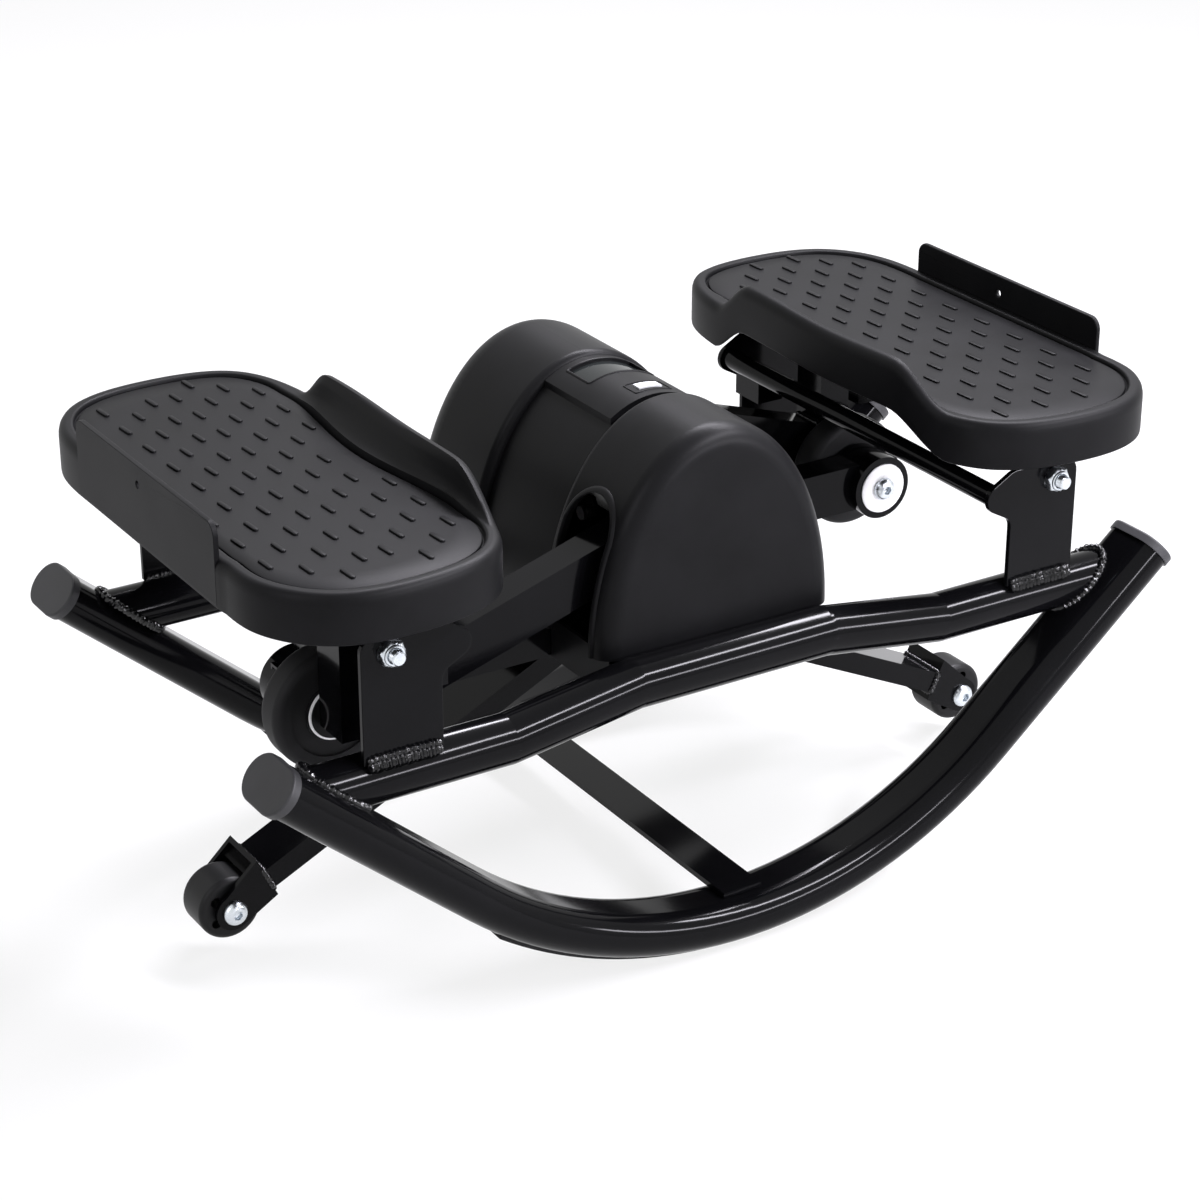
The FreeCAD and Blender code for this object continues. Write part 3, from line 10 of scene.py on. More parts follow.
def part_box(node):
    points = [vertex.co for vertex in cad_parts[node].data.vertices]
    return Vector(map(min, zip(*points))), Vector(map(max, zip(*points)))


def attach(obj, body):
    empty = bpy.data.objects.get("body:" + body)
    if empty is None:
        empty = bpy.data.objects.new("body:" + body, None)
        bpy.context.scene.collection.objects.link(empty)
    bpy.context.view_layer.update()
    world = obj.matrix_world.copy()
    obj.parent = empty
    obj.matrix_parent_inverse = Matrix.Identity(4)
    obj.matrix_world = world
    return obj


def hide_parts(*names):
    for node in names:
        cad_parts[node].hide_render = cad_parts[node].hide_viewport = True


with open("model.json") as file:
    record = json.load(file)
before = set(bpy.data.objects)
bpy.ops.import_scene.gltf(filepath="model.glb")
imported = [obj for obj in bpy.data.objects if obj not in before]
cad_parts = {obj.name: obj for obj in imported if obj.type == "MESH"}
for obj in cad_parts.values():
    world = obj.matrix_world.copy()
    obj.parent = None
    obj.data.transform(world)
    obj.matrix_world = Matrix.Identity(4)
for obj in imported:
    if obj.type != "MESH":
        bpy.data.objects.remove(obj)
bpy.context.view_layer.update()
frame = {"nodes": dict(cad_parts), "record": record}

# Stepping trainer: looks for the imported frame. Everything is in metres, X along the rockers, -Y the front.

NODES = frame["nodes"]
MM = 0.001
SIDES = {"left": -1, "right": 1}
ENDS = {"front": -1, "back": 1}
FORWARD, BACKWARD = (0, -1, 0), (0, 1, 0)

# Places that several details share, the same as in the solids

HINGE_X, HINGE_Z = 0.258, 0.2775
AXLE_X, AXLE_Z = 0.305, 0.0376
CHORD_Y, CHORD_Z, CHORD_RADIUS = 0.152, 0.189, 0.017
BRACKET_INNER, BRACKET_OUTER, BRACKET_TOP = 0.222, 0.278, 0.290


# Materials

def node_material(name):
    material = bpy.data.materials.new(name)
    material.use_nodes = True
    tree = material.node_tree
    return material, tree, tree.nodes["Principled BSDF"]


def noise(tree, place, scale, detail):
    """Noise texture in the piece's own coordinates."""
    texture = tree.nodes.new("ShaderNodeTexNoise")
    texture.inputs["Scale"].default_value = scale
    texture.inputs["Detail"].default_value = detail
    tree.links.new(place.outputs["Object"], texture.inputs["Vector"])
    return texture


def surface(name, colour, rough, noise_scale, colour_spread=0.25, rough_spread=0.1, metallic=0.0,
            bump=0.1, bump_scale=900, bump_depth=0.0002, specular=0.5):
    """Procedural finish: mottled colour, uneven roughness and a fine grain."""
    material, tree, shader = node_material(name)
    shader.inputs["Metallic"].default_value = metallic
    shader.inputs["Specular IOR Level"].default_value = specular
    place = tree.nodes.new("ShaderNodeTexCoord")
    broad = noise(tree, place, noise_scale, 6)
    tint = tree.nodes.new("ShaderNodeValToRGB")
    low = [channel * (1 - colour_spread) for channel in colour]
    high = [min(1, channel * (1 + colour_spread)) for channel in colour]
    tint.color_ramp.elements[0].position = 0.3
    tint.color_ramp.elements[1].position = 0.7
    tint.color_ramp.elements[0].color = (*low, 1)
    tint.color_ramp.elements[1].color = (*high, 1)
    tree.links.new(broad.outputs["Fac"], tint.inputs["Fac"])
    tree.links.new(tint.outputs["Color"], shader.inputs["Base Color"])
    spread = tree.nodes.new("ShaderNodeMapRange")
    spread.inputs["To Min"].default_value = max(0.02, rough - rough_spread)
    spread.inputs["To Max"].default_value = min(1, rough + rough_spread)
    tree.links.new(broad.outputs["Fac"], spread.inputs["Value"])
    tree.links.new(spread.outputs["Result"], shader.inputs["Roughness"])
    grain = noise(tree, place, bump_scale, 3)
    relief = tree.nodes.new("ShaderNodeBump")
    relief.inputs["Strength"].default_value = bump
    relief.inputs["Distance"].default_value = bump_depth
    tree.links.new(grain.outputs["Fac"], relief.inputs["Height"])
    tree.links.new(relief.outputs["Normal"], shader.inputs["Normal"])
    return material


ENAMEL = surface("black_enamel", (0.0022, 0.0022, 0.0026), 0.11, 14, rough_spread=0.03, bump=0.05,
                 bump_scale=260, specular=0.10)
WELD = surface("enamelled_weld", (0.003, 0.003, 0.0035), 0.15, 60, rough_spread=0.06, bump=0.5,
               bump_scale=420, bump_depth=0.0006, specular=0.4)
SHELL = surface("housing_plastic", (0.0045, 0.0045, 0.005), 0.4, 20, rough_spread=0.05, bump=0.12,
                bump_scale=1600, specular=0.09)
PEDAL = surface("pedal_plastic", (0.0045, 0.0045, 0.005), 0.46, 24, rough_spread=0.06, bump=0.16,
                bump_scale=1500, specular=0.085)
CAPS = surface("cap_plastic", (0.024, 0.024, 0.026), 0.5, 30, rough_spread=0.06, bump=0.2, bump_scale=1400,
               specular=0.35)
WHEEL = surface("wheel_plastic", (0.005, 0.005, 0.0055), 0.42, 30, rough_spread=0.06, bump=0.15,
                bump_scale=1300, specular=0.18)
RUBBER = surface("black_rubber", (0.010, 0.010, 0.0105), 0.58, 26, rough_spread=0.08, bump=0.25,
                 bump_scale=1200, specular=0.15)
ZINC = surface("zinc_plate", (0.66, 0.70, 0.74), 0.27, 90, colour_spread=0.12, rough_spread=0.09,
               metallic=1.0, bump=0.12, bump_scale=900)
NYLON = surface("white_nylon", (0.80, 0.80, 0.79), 0.42, 30, colour_spread=0.03, bump=0.06)
KEY_GREY = surface("key_plastic", (0.50, 0.51, 0.52), 0.4, 40, colour_spread=0.04, bump=0.06)
SCREEN = surface("display_screen", (0.012, 0.014, 0.014), 0.1, 12, colour_spread=0.1, rough_spread=0.03,
                 bump=0.01, specular=0.2)
BOARD = surface("circuit_board", (0.02, 0.14, 0.05), 0.35, 60, bump=0.1)
STEEL = surface("dark_steel", (0.25, 0.25, 0.26), 0.35, 60, colour_spread=0.15, metallic=1.0)

FINISHES = {
    "black_enamel": ENAMEL, "housing_plastic": SHELL, "pedal_plastic": PEDAL, "cap_plastic": CAPS,
    "black_rubber": RUBBER, "zinc": ZINC, "white_nylon": NYLON, "grey_key": KEY_GREY,
    "display_glass": SCREEN, "circuit_board": BOARD,
}
SPECIAL = {"left_side_wheel": WHEEL, "right_side_wheel": WHEEL, "left_roller_hub": WHEEL,
           "right_roller_hub": WHEEL, "motion_sensor": WHEEL, "sensor_magnet": STEEL, "balance_pin": STEEL}

for part in frame["record"]["subparts"]:
    node = NODES[part["node"]]
    finish = SPECIAL.get(part["node"], FINISHES[part["material_slot"]])
    node.data.materials.clear()
    node.data.materials.append(finish)


# Mesh helpers

SHARP_ANGLE = math.radians(40)
SHARP_ANGLE_SOFTENED = math.radians(15)


def add_mesh(name, verts, faces, body, slot, material):
    """Piece from vertices and faces, riding on a body and taking the given material; the slot argument is
    not used.
    """
    mesh = bpy.data.meshes.new(name)
    mesh.from_pydata([tuple(vert) for vert in verts], [], faces)
    mesh.update()
    shaper = bmesh.new()
    shaper.from_mesh(mesh)
    bmesh.ops.remove_doubles(shaper, verts=shaper.verts, dist=1e-6)
    bmesh.ops.recalc_face_normals(shaper, faces=shaper.faces)
    for edge in shaper.edges:
        edge.smooth = len(edge.link_faces) != 2 or edge.calc_face_angle(0) < SHARP_ANGLE
    for face in shaper.faces:
        face.smooth = True
    shaper.to_mesh(mesh)
    shaper.free()
    piece = bpy.data.objects.new(name, mesh)
    bpy.context.scene.collection.objects.link(piece)
    mesh.materials.append(material)
    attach(piece, body)
    return piece


def loft(rings, closed_ends=True, closed_loop=False):
    """Vertices and faces that join rings of equal length in order."""
    count = len(rings[0])
    verts = [vert for ring in rings for vert in ring]
    faces = []
    spans = len(rings) if closed_loop else len(rings) - 1
    for row in range(spans):
        here, there = row * count, ((row + 1) % len(rings)) * count
        for step in range(count):
            after = (step + 1) % count
            faces.append((here + step, here + after, there + after, there + step))
    if closed_ends and not closed_loop:
        faces.append(tuple(range(count))[::-1])
        last = (len(rings) - 1) * count
        faces.append(tuple(range(last, last + count)))
    return verts, faces


def join_shapes(shapes):
    """One list of vertices and faces out of several."""
    verts, faces = [], []
    for more_verts, more_faces in shapes:
        start = len(verts)
        verts += list(more_verts)
        faces += [tuple(start + number for number in face) for face in more_faces]
    return verts, faces


def ring_about(centre, axis, along, steps, reach_at):
    """Ring across an axis at a distance along it; reach_at gives the radius at an angle."""
    axis = Vector(axis).normalized()
    across = axis.orthogonal().normalized()
    other = axis.cross(across)
    ring = []
    for step in range(steps):
        angle = 2 * math.pi * step / steps
        direction = across * math.cos(angle) + other * math.sin(angle)
        ring.append(Vector(centre) + axis * along + direction * reach_at(angle))
    return ring


def round_ring(radius, centre, axis, along, steps=36):
    return ring_about(centre, axis, along, steps, lambda angle: radius)


def hex_ring(radius, centre, axis, along, steps=36):
    """Ring with six flats."""
    def reach_at(angle):
        sector = angle % (math.pi / 3) - math.pi / 6
        return radius * math.cos(math.pi / 6) / math.cos(sector)
    return ring_about(centre, axis, along, steps, reach_at)


def stack(centre, axis, profile):
    """Rings in a row; each entry holds the ring's function, its radius and its distance along the axis."""
    return [make_ring(radius, centre, axis, along) for make_ring, radius, along in profile]


def lathe(profile, centre, axis, steps):
    """Solid of revolution: profile holds (distance along the axis, radius) pairs."""
    return loft([round_ring(radius, centre, axis, along, steps) for along, radius in profile])


def washer_shape(profile, centre, axis):
    """Solid of revolution with a hole: profile is a closed outline, in millimetres."""
    rings = [round_ring(radius * MM, centre, axis, along * MM, 64) for along, radius in profile]
    return loft(rings, closed_ends=False, closed_loop=True)


def rounded_outline(corners, steps=8):
    """Closed outline whose corners, given with a radius each, are rounded off by arcs."""
    outline = []
    for number, (across, up, radius) in enumerate(corners):
        here = Vector((across, up))
        if not radius:
            outline.append(here)
            continue
        before, after = corners[number - 1], corners[(number + 1) % len(corners)]
        back = (Vector(before[:2]) - here).normalized()
        ahead = (Vector(after[:2]) - here).normalized()
        half = back.angle(ahead) / 2
        reach = radius / math.tan(half)
        middle = here + (back + ahead).normalized() * radius / math.sin(half)
        start, end = here + back * reach - middle, here + ahead * reach - middle
        turn = math.atan2(start.x * end.y - start.y * end.x, start.dot(end))
        for step in range(steps + 1):
            outline.append(middle + Matrix.Rotation(turn * step / steps, 2) @ start)
    return outline


def soften(piece, width):
    """Small rounding of a piece's sharp edges."""
    rounding = piece.modifiers.new("rounding", "BEVEL")
    rounding.width = width
    rounding.segments = 2
    rounding.limit_method = "ANGLE"
    rounding.angle_limit = math.radians(50)
    rounding.harden_normals = False


def apply_modifiers(piece):
    """Keep what the modifiers make as the piece's own mesh."""
    graph = bpy.context.evaluated_depsgraph_get()
    made = bpy.data.meshes.new_from_object(piece.evaluated_get(graph))
    piece.modifiers.clear()
    piece.data = made
    shaper = bmesh.new()
    shaper.from_mesh(made)
    for edge in shaper.edges:
        edge.smooth = len(edge.link_faces) == 2 and edge.calc_face_angle(0) < SHARP_ANGLE_SOFTENED
    shaper.to_mesh(made)
    shaper.free()


def smoothstep(value, low, high):
    share = min(1.0, max(0.0, (value - low) / (high - low)))
    return share * share * (3 - 2 * share)


# Pedals: outline

# points of a pedal's outline: share of its half width, outward, and of its half length, backward
PEDAL_SHARES = [(-1.0, 0.05), (-0.98, 0.40), (-0.93, 0.69), (-0.65, 0.935), (0.0, 1.0), (0.61, 0.935),
                (0.95, 0.72), (1.0, 0.40), (0.98, -0.05), (0.985, -0.50), (0.945, -0.76), (0.57, -0.96),
                (-0.08, -1.0), (-0.64, -0.925), (-0.92, -0.73), (-0.99, -0.40)]
EDGE_STEPS = 192
FLANGE_MIDDLE, FLANGE_HALF = -0.002, 0.103
# the outer side, past this distance from the middle plane, is flat under the flange; it eases off past the
# flange's ends by FLAT_DEPTH over each FLAT_EASE, and FLAT_END times that length is where it ends
OUTER_SIDE_X = 0.30
FLAT_EASE, FLAT_DEPTH, FLAT_END = 0.022, 0.0045, 1.6


def periodic_spline(points, steps):
    """Smooth closed curve through the points, evenly stepped, by a cyclic cubic spline."""
    points = np.array(points, float)
    count = len(points)
    system = np.zeros((count, count))
    right = np.zeros_like(points)
    for row in range(count):
        system[row, (row - 1) % count] += 1
        system[row, row] += 4
        system[row, (row + 1) % count] += 1
        right[row] = 3 * (points[(row + 1) % count] - points[(row - 1) % count])
    slopes = np.linalg.solve(system, right)
    curve = []
    for step in range(steps):
        place = step * count / steps
        row = int(place)
        share = place - row
        start, end = points[row], points[(row + 1) % count]
        tangent, next_tangent = slopes[row], slopes[(row + 1) % count]
        curve.append((2 * share ** 3 - 3 * share ** 2 + 1) * start
                     + (share ** 3 - 2 * share ** 2 + share) * tangent
                     + (3 * share ** 2 - 2 * share ** 3) * end
                     + (share ** 3 - share ** 2) * next_tangent)
    return np.array(curve)


def pedal_edge(side):
    """Outline of a pedal seen from above, fitted to the frame's box, and its inward normals."""
    low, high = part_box(f"{side}_pedal")
    mark = SIDES[side]
    outline = periodic_spline([(mark * across, along) for across, along in PEDAL_SHARES], EDGE_STEPS)
    first, last = outline.min(axis=0), outline.max(axis=0)
    span = np.array([high.x - low.x, high.y - low.y])
    outline = (outline - first) / (last - first) * span + np.array([low.x, low.y])
    outer = high.x if mark > 0 else -low.x
    past = np.maximum(0, np.abs(outline[:, 1] - FLANGE_MIDDLE) - FLANGE_HALF + 2 * MM) / FLAT_EASE
    flat = outer - 0.1 * MM - FLAT_DEPTH * past ** 2
    on_outer_side = (outline[:, 0] * mark > OUTER_SIDE_X) & (past < FLAT_END)
    pushed_out = mark * np.maximum(outline[:, 0] * mark, flat)
    outline[:, 0] = np.where(on_outer_side, pushed_out, outline[:, 0])
    ahead = np.roll(outline, -1, axis=0) - np.roll(outline, 1, axis=0)
    ahead /= np.linalg.norm(ahead, axis=1)[:, None]
    inward = np.stack([ahead[:, 1], -ahead[:, 0]], axis=1) * mark
    return outline, inward


# Pedals: skirt, rim and raised lip

RIM_ABOVE_MAT = 4 * MM
DECK_BELOW_MAT = 8 * MM
LIP_RISE = 0.0245
LIP_FRONT, LIP_BACK = (-0.152, -0.094), (0.079, 0.118)
LIP_WAVE, LIP_WAVE_LENGTH, LIP_WAVE_CREST = 0.04, 0.16, 0.06
# the edge has the lip where it faces the middle plane; the two values are where it starts and is full
FACING = (0.55, 0.9)
RIM_WIDENING = 0.25
SKIRT_ARCH, ARCH_FULLNESS = 0.022, 0.8
WAIST_Y, WAIST_HALF, WAIST_END = 0.005, 0.118, 0.150
RAMP_PLAIN, RAMP_BULGE = 2.8 * MM, 12.5 * MM
# shares of the lip's rise that the foot of its ramp keeps: on its first rows, and where it goes down
FOOT_RISE, FOOT_RISE_LOW = 0.10, 0.04
FOOT_DIP = 2.2 * MM
# rows of the skin: inset in mm, height in mm and where the height is counted from
SKIN_ROWS = [(3.0, 0.0, "deck"), (3.0, 0.6, "bottom"), (2.2, 0.0, "bottom"), (0.8, 0.0, "bottom"),
             (0.15, 0.6, "bottom"), (0.0, 2.0, "bottom"), (0.0, -9.0, "rim"), (0.15, -6.0, "rim"),
             (0.9, -3.2, "rim"), (2.2, -1.2, "rim"), (3.9, -0.2, "rim"), (5.6, 0.0, "rim"),
             (8.6, 0.0, "ramp"), (9.6, -0.3, "ramp"), (10.1, -1.0, "ramp"), (10.4, -3.6, "ramp"),
             (11.2, -4.3, "mat"), (12.0, -4.0, "mat"), (12.6, -2.2, "mat"), (13.6, -1.6, "mat")]
CREST_ROW = 11
# shares of the way from the lip's crest to the foot of its ramp, and of the fall between them
RAMP_CURVE = [(0.12, 0.06), (0.3, 0.34), (0.5, 0.66), (0.75, 0.9)]


def lip_share(point, inward, mark):
    """How far the raised lip is up at a place of the edge: 1 on its plateau, 0 away from it."""
    if inward[0] * mark < FACING[0]:
        return 0.0
    along = point[1]
    rise = smoothstep(along, *LIP_FRONT)
    fall = 1 - smoothstep(along, *LIP_BACK)
    facing = smoothstep(inward[0] * mark, *FACING)
    wave = LIP_WAVE * math.cos((along - LIP_WAVE_CREST) * 2 * math.pi / LIP_WAVE_LENGTH)
    return rise * fall * facing * (1 - LIP_WAVE + wave)


def ramp_width(point, inward, mark):
    """Extra width of the slope from the lip's crest down to the mat, widest at the waist."""
    facing = smoothstep(inward[0] * mark, *FACING)
    distance = abs(point[1] - WAIST_Y)
    bulge = math.cos(min(1.0, distance / WAIST_HALF) * math.pi / 2) ** 2
    near = 1 - smoothstep(distance, WAIST_HALF, WAIST_END)
    return (RAMP_PLAIN * near + RAMP_BULGE * bulge) * facing


def pedal_rings(side):
    """Rings of the pedal's skin from the underside of the deck, round the skirt, to the mat's edge."""
    mark = SIDES[side]
    outline, inward = pedal_edge(side)
    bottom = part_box(f"{side}_pedal")[0].z
    mat_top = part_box(f"{side}_pedal_mat")[1].z
    rim_top = mat_top + RIM_ABOVE_MAT
    rings = []
    for inset, height, kind in SKIN_ROWS:
        ring = []
        for point, direction in zip(outline, inward):
            lip = lip_share(point, direction, mark)
            distance = inset * MM
            if kind == "deck":
                level = mat_top - DECK_BELOW_MAT + height * MM
            elif kind == "bottom":
                level = bottom + height * MM + SKIRT_ARCH * lip ** ARCH_FULLNESS
            elif kind == "rim":
                level = rim_top + height * MM + LIP_RISE * lip
                distance *= 1 + RIM_WIDENING * lip
            elif kind == "ramp":
                distance += ramp_width(point, direction, mark)
                level = rim_top + height * MM
                level += LIP_RISE * lip * (FOOT_RISE_LOW if height < -0.5 else FOOT_RISE)
                level -= FOOT_DIP * lip if height < -2 else 0
            else:
                distance += ramp_width(point, direction, mark)
                level = rim_top + height * MM
            x, y = point + direction * distance
            ring.append(Vector((x, y, level)))
        rings.append(ring)
    # the concave ramp between the lip's crest and the mat
    crest, foot = rings[CREST_ROW], rings[CREST_ROW + 1]
    ramp = []
    for share, drop in RAMP_CURVE:
        ring = []
        for start, end in zip(crest, foot):
            place = start.lerp(end, share)
            place.z = start.z + (end.z - start.z) * drop
            ring.append(place)
        ramp.append(ring)
    return rings[:CREST_ROW + 1] + ramp + rings[CREST_ROW + 1:]


def flat_cap(ring):
    """Level fill of a ring by smaller rings towards its middle."""
    middle = sum(ring, Vector()) / len(ring)
    rings = [ring]
    for share in (0.88, 0.7, 0.5, 0.3, 0.12):
        rings.append([middle + (vert - middle) * share for vert in ring])
    verts, faces = loft(rings, closed_ends=False)
    last = (len(rings) - 1) * len(ring)
    faces.append(tuple(range(last, last + len(ring))))
    return verts, faces


def make_skin(side, rings):
    """Deck, skirt, rim, lip and mat as one skin."""
    walls = loft(rings, closed_ends=False)
    skin = add_mesh(f"{side}_pedal_skin", *join_shapes([walls, flat_cap(rings[-1]), flat_cap(rings[0])]),
                    f"{side}_pedal_lever", "pedal_plastic", PEDAL)
    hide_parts(f"{side}_pedal", f"{side}_pedal_mat")


# Pedals: raised dashes of the mat

DASH_PITCH, DASH_LENGTH, DASH_WIDTH, DASH_HEIGHT = 0.0374, 0.0155, 0.0038, 0.0014
DASH_MIDDLE, DASH_LEAN, DASH_MARGIN = 0.0057, math.radians(2.5), 7 * MM
# first column, spacing and whether a column is moved by half a pitch
DASH_COLUMNS = {"left": (-0.3191, 0.01777, (1, 0, 1, 0, 0, 1, 0, 1)),
                "right": (0.2080, 0.01720, (1, 0, 1, 0, 1, 0, 1))}
# width and height of a dash as shares, from its foot to its rounded top
DASH_SECTION = [(1.0, 0.45), (0.86, 0.85), (0.55, 1.0)]
DASH_SUNK = 0.2 * MM


def inside_ring(ring, place, margin):
    """Whether a place in plan lies inside the ring by at least the margin."""
    inside = False
    closest = min((Vector((vert.x, vert.y)) - place).length for vert in ring)
    for start, end in zip(ring, ring[1:] + ring[:1]):
        if (start.y > place.y) != (end.y > place.y):
            cross = start.x + (place.y - start.y) * (end.x - start.x) / (end.y - start.y)
            inside ^= place.x < cross
    return inside and closest > margin


def dash_shape(place, level):
    """Low oval bump with a rounded top."""
    rings = []
    heights = [(1.0, -DASH_SUNK)] + [(share, height * DASH_HEIGHT) for share, height in DASH_SECTION]
    for share, height in heights:
        ring = []
        for step in range(20):
            angle = 2 * math.pi * step / 20
            across = math.cos(angle) * DASH_WIDTH / 2 * share
            along = math.sin(angle) * DASH_WIDTH / 2 * share
            if abs(math.sin(angle)) > 1e-6:
                along += math.copysign((DASH_LENGTH - DASH_WIDTH) / 2, math.sin(angle))
            spot = Matrix.Rotation(DASH_LEAN, 2) @ Vector((across, along))
            ring.append(Vector((place.x + spot.x, place.y + spot.y, level + height)))
        rings.append(ring)
    return loft(rings)


def make_dashes(side, edge):
    """Staggered columns of dashes inside the mat's edge."""
    first, spacing, shifts = DASH_COLUMNS[side]
    dashes = []
    for column, shifted in enumerate(shifts):
        for row in range(-6, 7):
            place = Vector((first + column * spacing, DASH_MIDDLE + (row + shifted / 2) * DASH_PITCH))
            if inside_ring(edge, place, DASH_MARGIN):
                dashes.append(dash_shape(place, edge[0].z))
    add_mesh(f"{side}_mat_dashes", *join_shapes(dashes), f"{side}_pedal_lever", "black_rubber", PEDAL)


# Pedals: flange and feet

FLANGE_THICK, FLANGE_CORNER, FLANGE_EDGE = 3.5 * MM, 9 * MM, 0.9 * MM
FLANGE_HOLE_Y, FLANGE_HOLE_Z, FLANGE_HOLE_RADIUS = 0.005, 0.3455, 2.6 * MM
FOOT_X, FOOT_Y = 0.036, 0.098
FOOT_RADIUS, FOOT_TOP_RADIUS = 7.6 * MM, 8 * MM


def make_flange(side):
    """Upright flange on the outer edge with a small hole."""
    mark = SIDES[side]
    low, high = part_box(f"{side}_pedal")
    outer = high.x if mark > 0 else low.x
    inner = outer - mark * FLANGE_THICK
    front, back = FLANGE_MIDDLE - FLANGE_HALF, FLANGE_MIDDLE + FLANGE_HALF
    bottom, top = low.z + 2 * MM, high.z - 2.2 * MM
    profile = rounded_outline([(front, bottom, 0), (back, bottom, 0), (back, top, FLANGE_CORNER),
                               (front, top, FLANGE_CORNER)])
    flange = loft([[Vector((x, y, z)) for y, z in profile] for x in (outer, inner)])
    piece = add_mesh(f"{side}_pedal_flange", *flange, f"{side}_pedal_lever", "pedal_plastic", PEDAL)
    drill = bpy.data.meshes.new(f"{side}_flange_drill")
    hole_verts, hole_faces = lathe([(-0.01, FLANGE_HOLE_RADIUS), (0.01, FLANGE_HOLE_RADIUS)],
                                   (outer, FLANGE_HOLE_Y, FLANGE_HOLE_Z), (1, 0, 0), 24)
    drill.from_pydata([tuple(vert) for vert in hole_verts], [], hole_faces)
    tool = bpy.data.objects.new(f"{side}_flange_drill", drill)
    bpy.context.scene.collection.objects.link(tool)
    cutter = piece.modifiers.new("hole", "BOOLEAN")
    cutter.object = tool
    cutter.operation = "DIFFERENCE"
    cutter.solver = "EXACT"
    soften(piece, FLANGE_EDGE)
    apply_modifiers(piece)
    bpy.data.objects.remove(tool)


def make_feet(side, deck_low):
    """Round feet under the deck that the pedal's screws go into."""
    middle = SIDES[side] * HINGE_X
    foot_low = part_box(f"{side}_lever")[1].z
    feet = []
    for across in (-FOOT_X, FOOT_X):
        for along in (-FOOT_Y, FOOT_Y):
            feet.append(lathe([(0, FOOT_RADIUS), (deck_low - foot_low, FOOT_TOP_RADIUS)],
                              (middle + across, along, foot_low), (0, 0, 1), 24))
    add_mesh(f"{side}_pedal_feet", *join_shapes(feet), f"{side}_pedal_lever", "pedal_plastic", PEDAL)


def make_pedal(side):
    rings = pedal_rings(side)
    make_skin(side, rings)
    make_dashes(side, rings[-1])
    make_flange(side)
    make_feet(side, rings[0][0].z)


# Fasteners

THREAD_RADIUS, THREAD_PITCH, TIP_CHAMFER = 5 * MM, 1.5 * MM, 0.8 * MM
NUT_RADIUS, NUT_DEPTH = 9.5 * MM, 8 * MM
HEAD_RADIUS, HEAD_DEPTH, SOCKET_RADIUS = 8.7 * MM, 5.5 * MM, 3.0 * MM
HEX_HEAD_RADIUS = 9.4 * MM
NUT_SEAT_Y, FORK_SEAT_Y = 0.164, 0.0205
AXLE_TIP = 9 * MM


def lock_nut(centre, axis):
    """Hexagon nut with chamfered corners, a flange-like collar and a round nylon rim."""
    size, depth, bore = NUT_RADIUS, NUT_DEPTH, THREAD_RADIUS
    profile = [(round_ring, bore, 0), (round_ring, size * 0.90, 0),
               (hex_ring, size * 0.995, 0.5 * MM), (hex_ring, size, 1.0 * MM),
               (hex_ring, size, depth * 0.58), (hex_ring, size * 0.97, depth * 0.66),
               (round_ring, size * 0.84, depth * 0.74), (round_ring, size * 0.76, depth * 0.80),
               (round_ring, size * 0.74, depth * 0.94), (round_ring, size * 0.68, depth),
               (round_ring, bore * 1.12, depth), (round_ring, bore, depth * 0.9)]
    return loft(stack(centre, axis, profile), closed_ends=False, closed_loop=True)


def thread_stub(centre, axis, length):
    """End of a bolt with thread grooves and a chamfered tip."""
    crest, root = THREAD_RADIUS * 0.97, THREAD_RADIUS * 0.86
    profile = []
    along = 0.0
    for _ in range(max(1, int((length - TIP_CHAMFER) / THREAD_PITCH))):
        profile += [(round_ring, crest, along), (round_ring, root, along + THREAD_PITCH / 2)]
        along += THREAD_PITCH
    profile += [(round_ring, crest, along), (round_ring, crest, length - TIP_CHAMFER),
                (round_ring, THREAD_RADIUS * 0.80, length)]
    return loft(stack(centre, axis, profile))


def button_head(centre, axis):
    """Domed screw head with a hexagon socket."""
    radius, depth, socket = HEAD_RADIUS, HEAD_DEPTH, SOCKET_RADIUS
    profile = [(round_ring, radius * 0.97, 0), (round_ring, radius, depth * 0.12),
               (round_ring, radius * 0.985, depth * 0.3), (round_ring, radius * 0.93, depth * 0.52),
               (round_ring, radius * 0.84, depth * 0.72), (round_ring, radius * 0.70, depth * 0.88),
               (round_ring, radius * 0.54, depth * 0.97), (round_ring, radius * 0.44, depth),
               (hex_ring, socket * 1.15, depth * 0.99), (hex_ring, socket * 1.08, depth * 0.9),
               (hex_ring, socket, depth * 0.35), (round_ring, socket * 0.3, depth * 0.25)]
    return loft(stack(centre, axis, profile))


def hinge_bolt(side):
    """Long bolt with its hexagon head at the back and its thread end at the front."""
    low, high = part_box(f"{side}_hinge_bolt")
    front = (SIDES[side] * HINGE_X, -NUT_SEAT_Y, HINGE_Z)
    back = (SIDES[side] * HINGE_X, NUT_SEAT_Y, HINGE_Z)
    head_end = high.y - NUT_SEAT_Y
    shank = lathe([(0, THREAD_RADIUS), (2 * NUT_SEAT_Y, THREAD_RADIUS)], front, BACKWARD, 32)
    stub = thread_stub(front, FORWARD, -NUT_SEAT_Y - low.y)
    profile = [(round_ring, 8.6 * MM, 0), (hex_ring, HEX_HEAD_RADIUS, 0.5 * MM),
               (hex_ring, HEX_HEAD_RADIUS, 4.4 * MM), (round_ring, 8.0 * MM, head_end - 0.1 * MM),
               (round_ring, 4.0 * MM, head_end - 0.4 * MM)]
    head = loft(stack(back, BACKWARD, profile))
    return join_shapes([shank, stub, head])


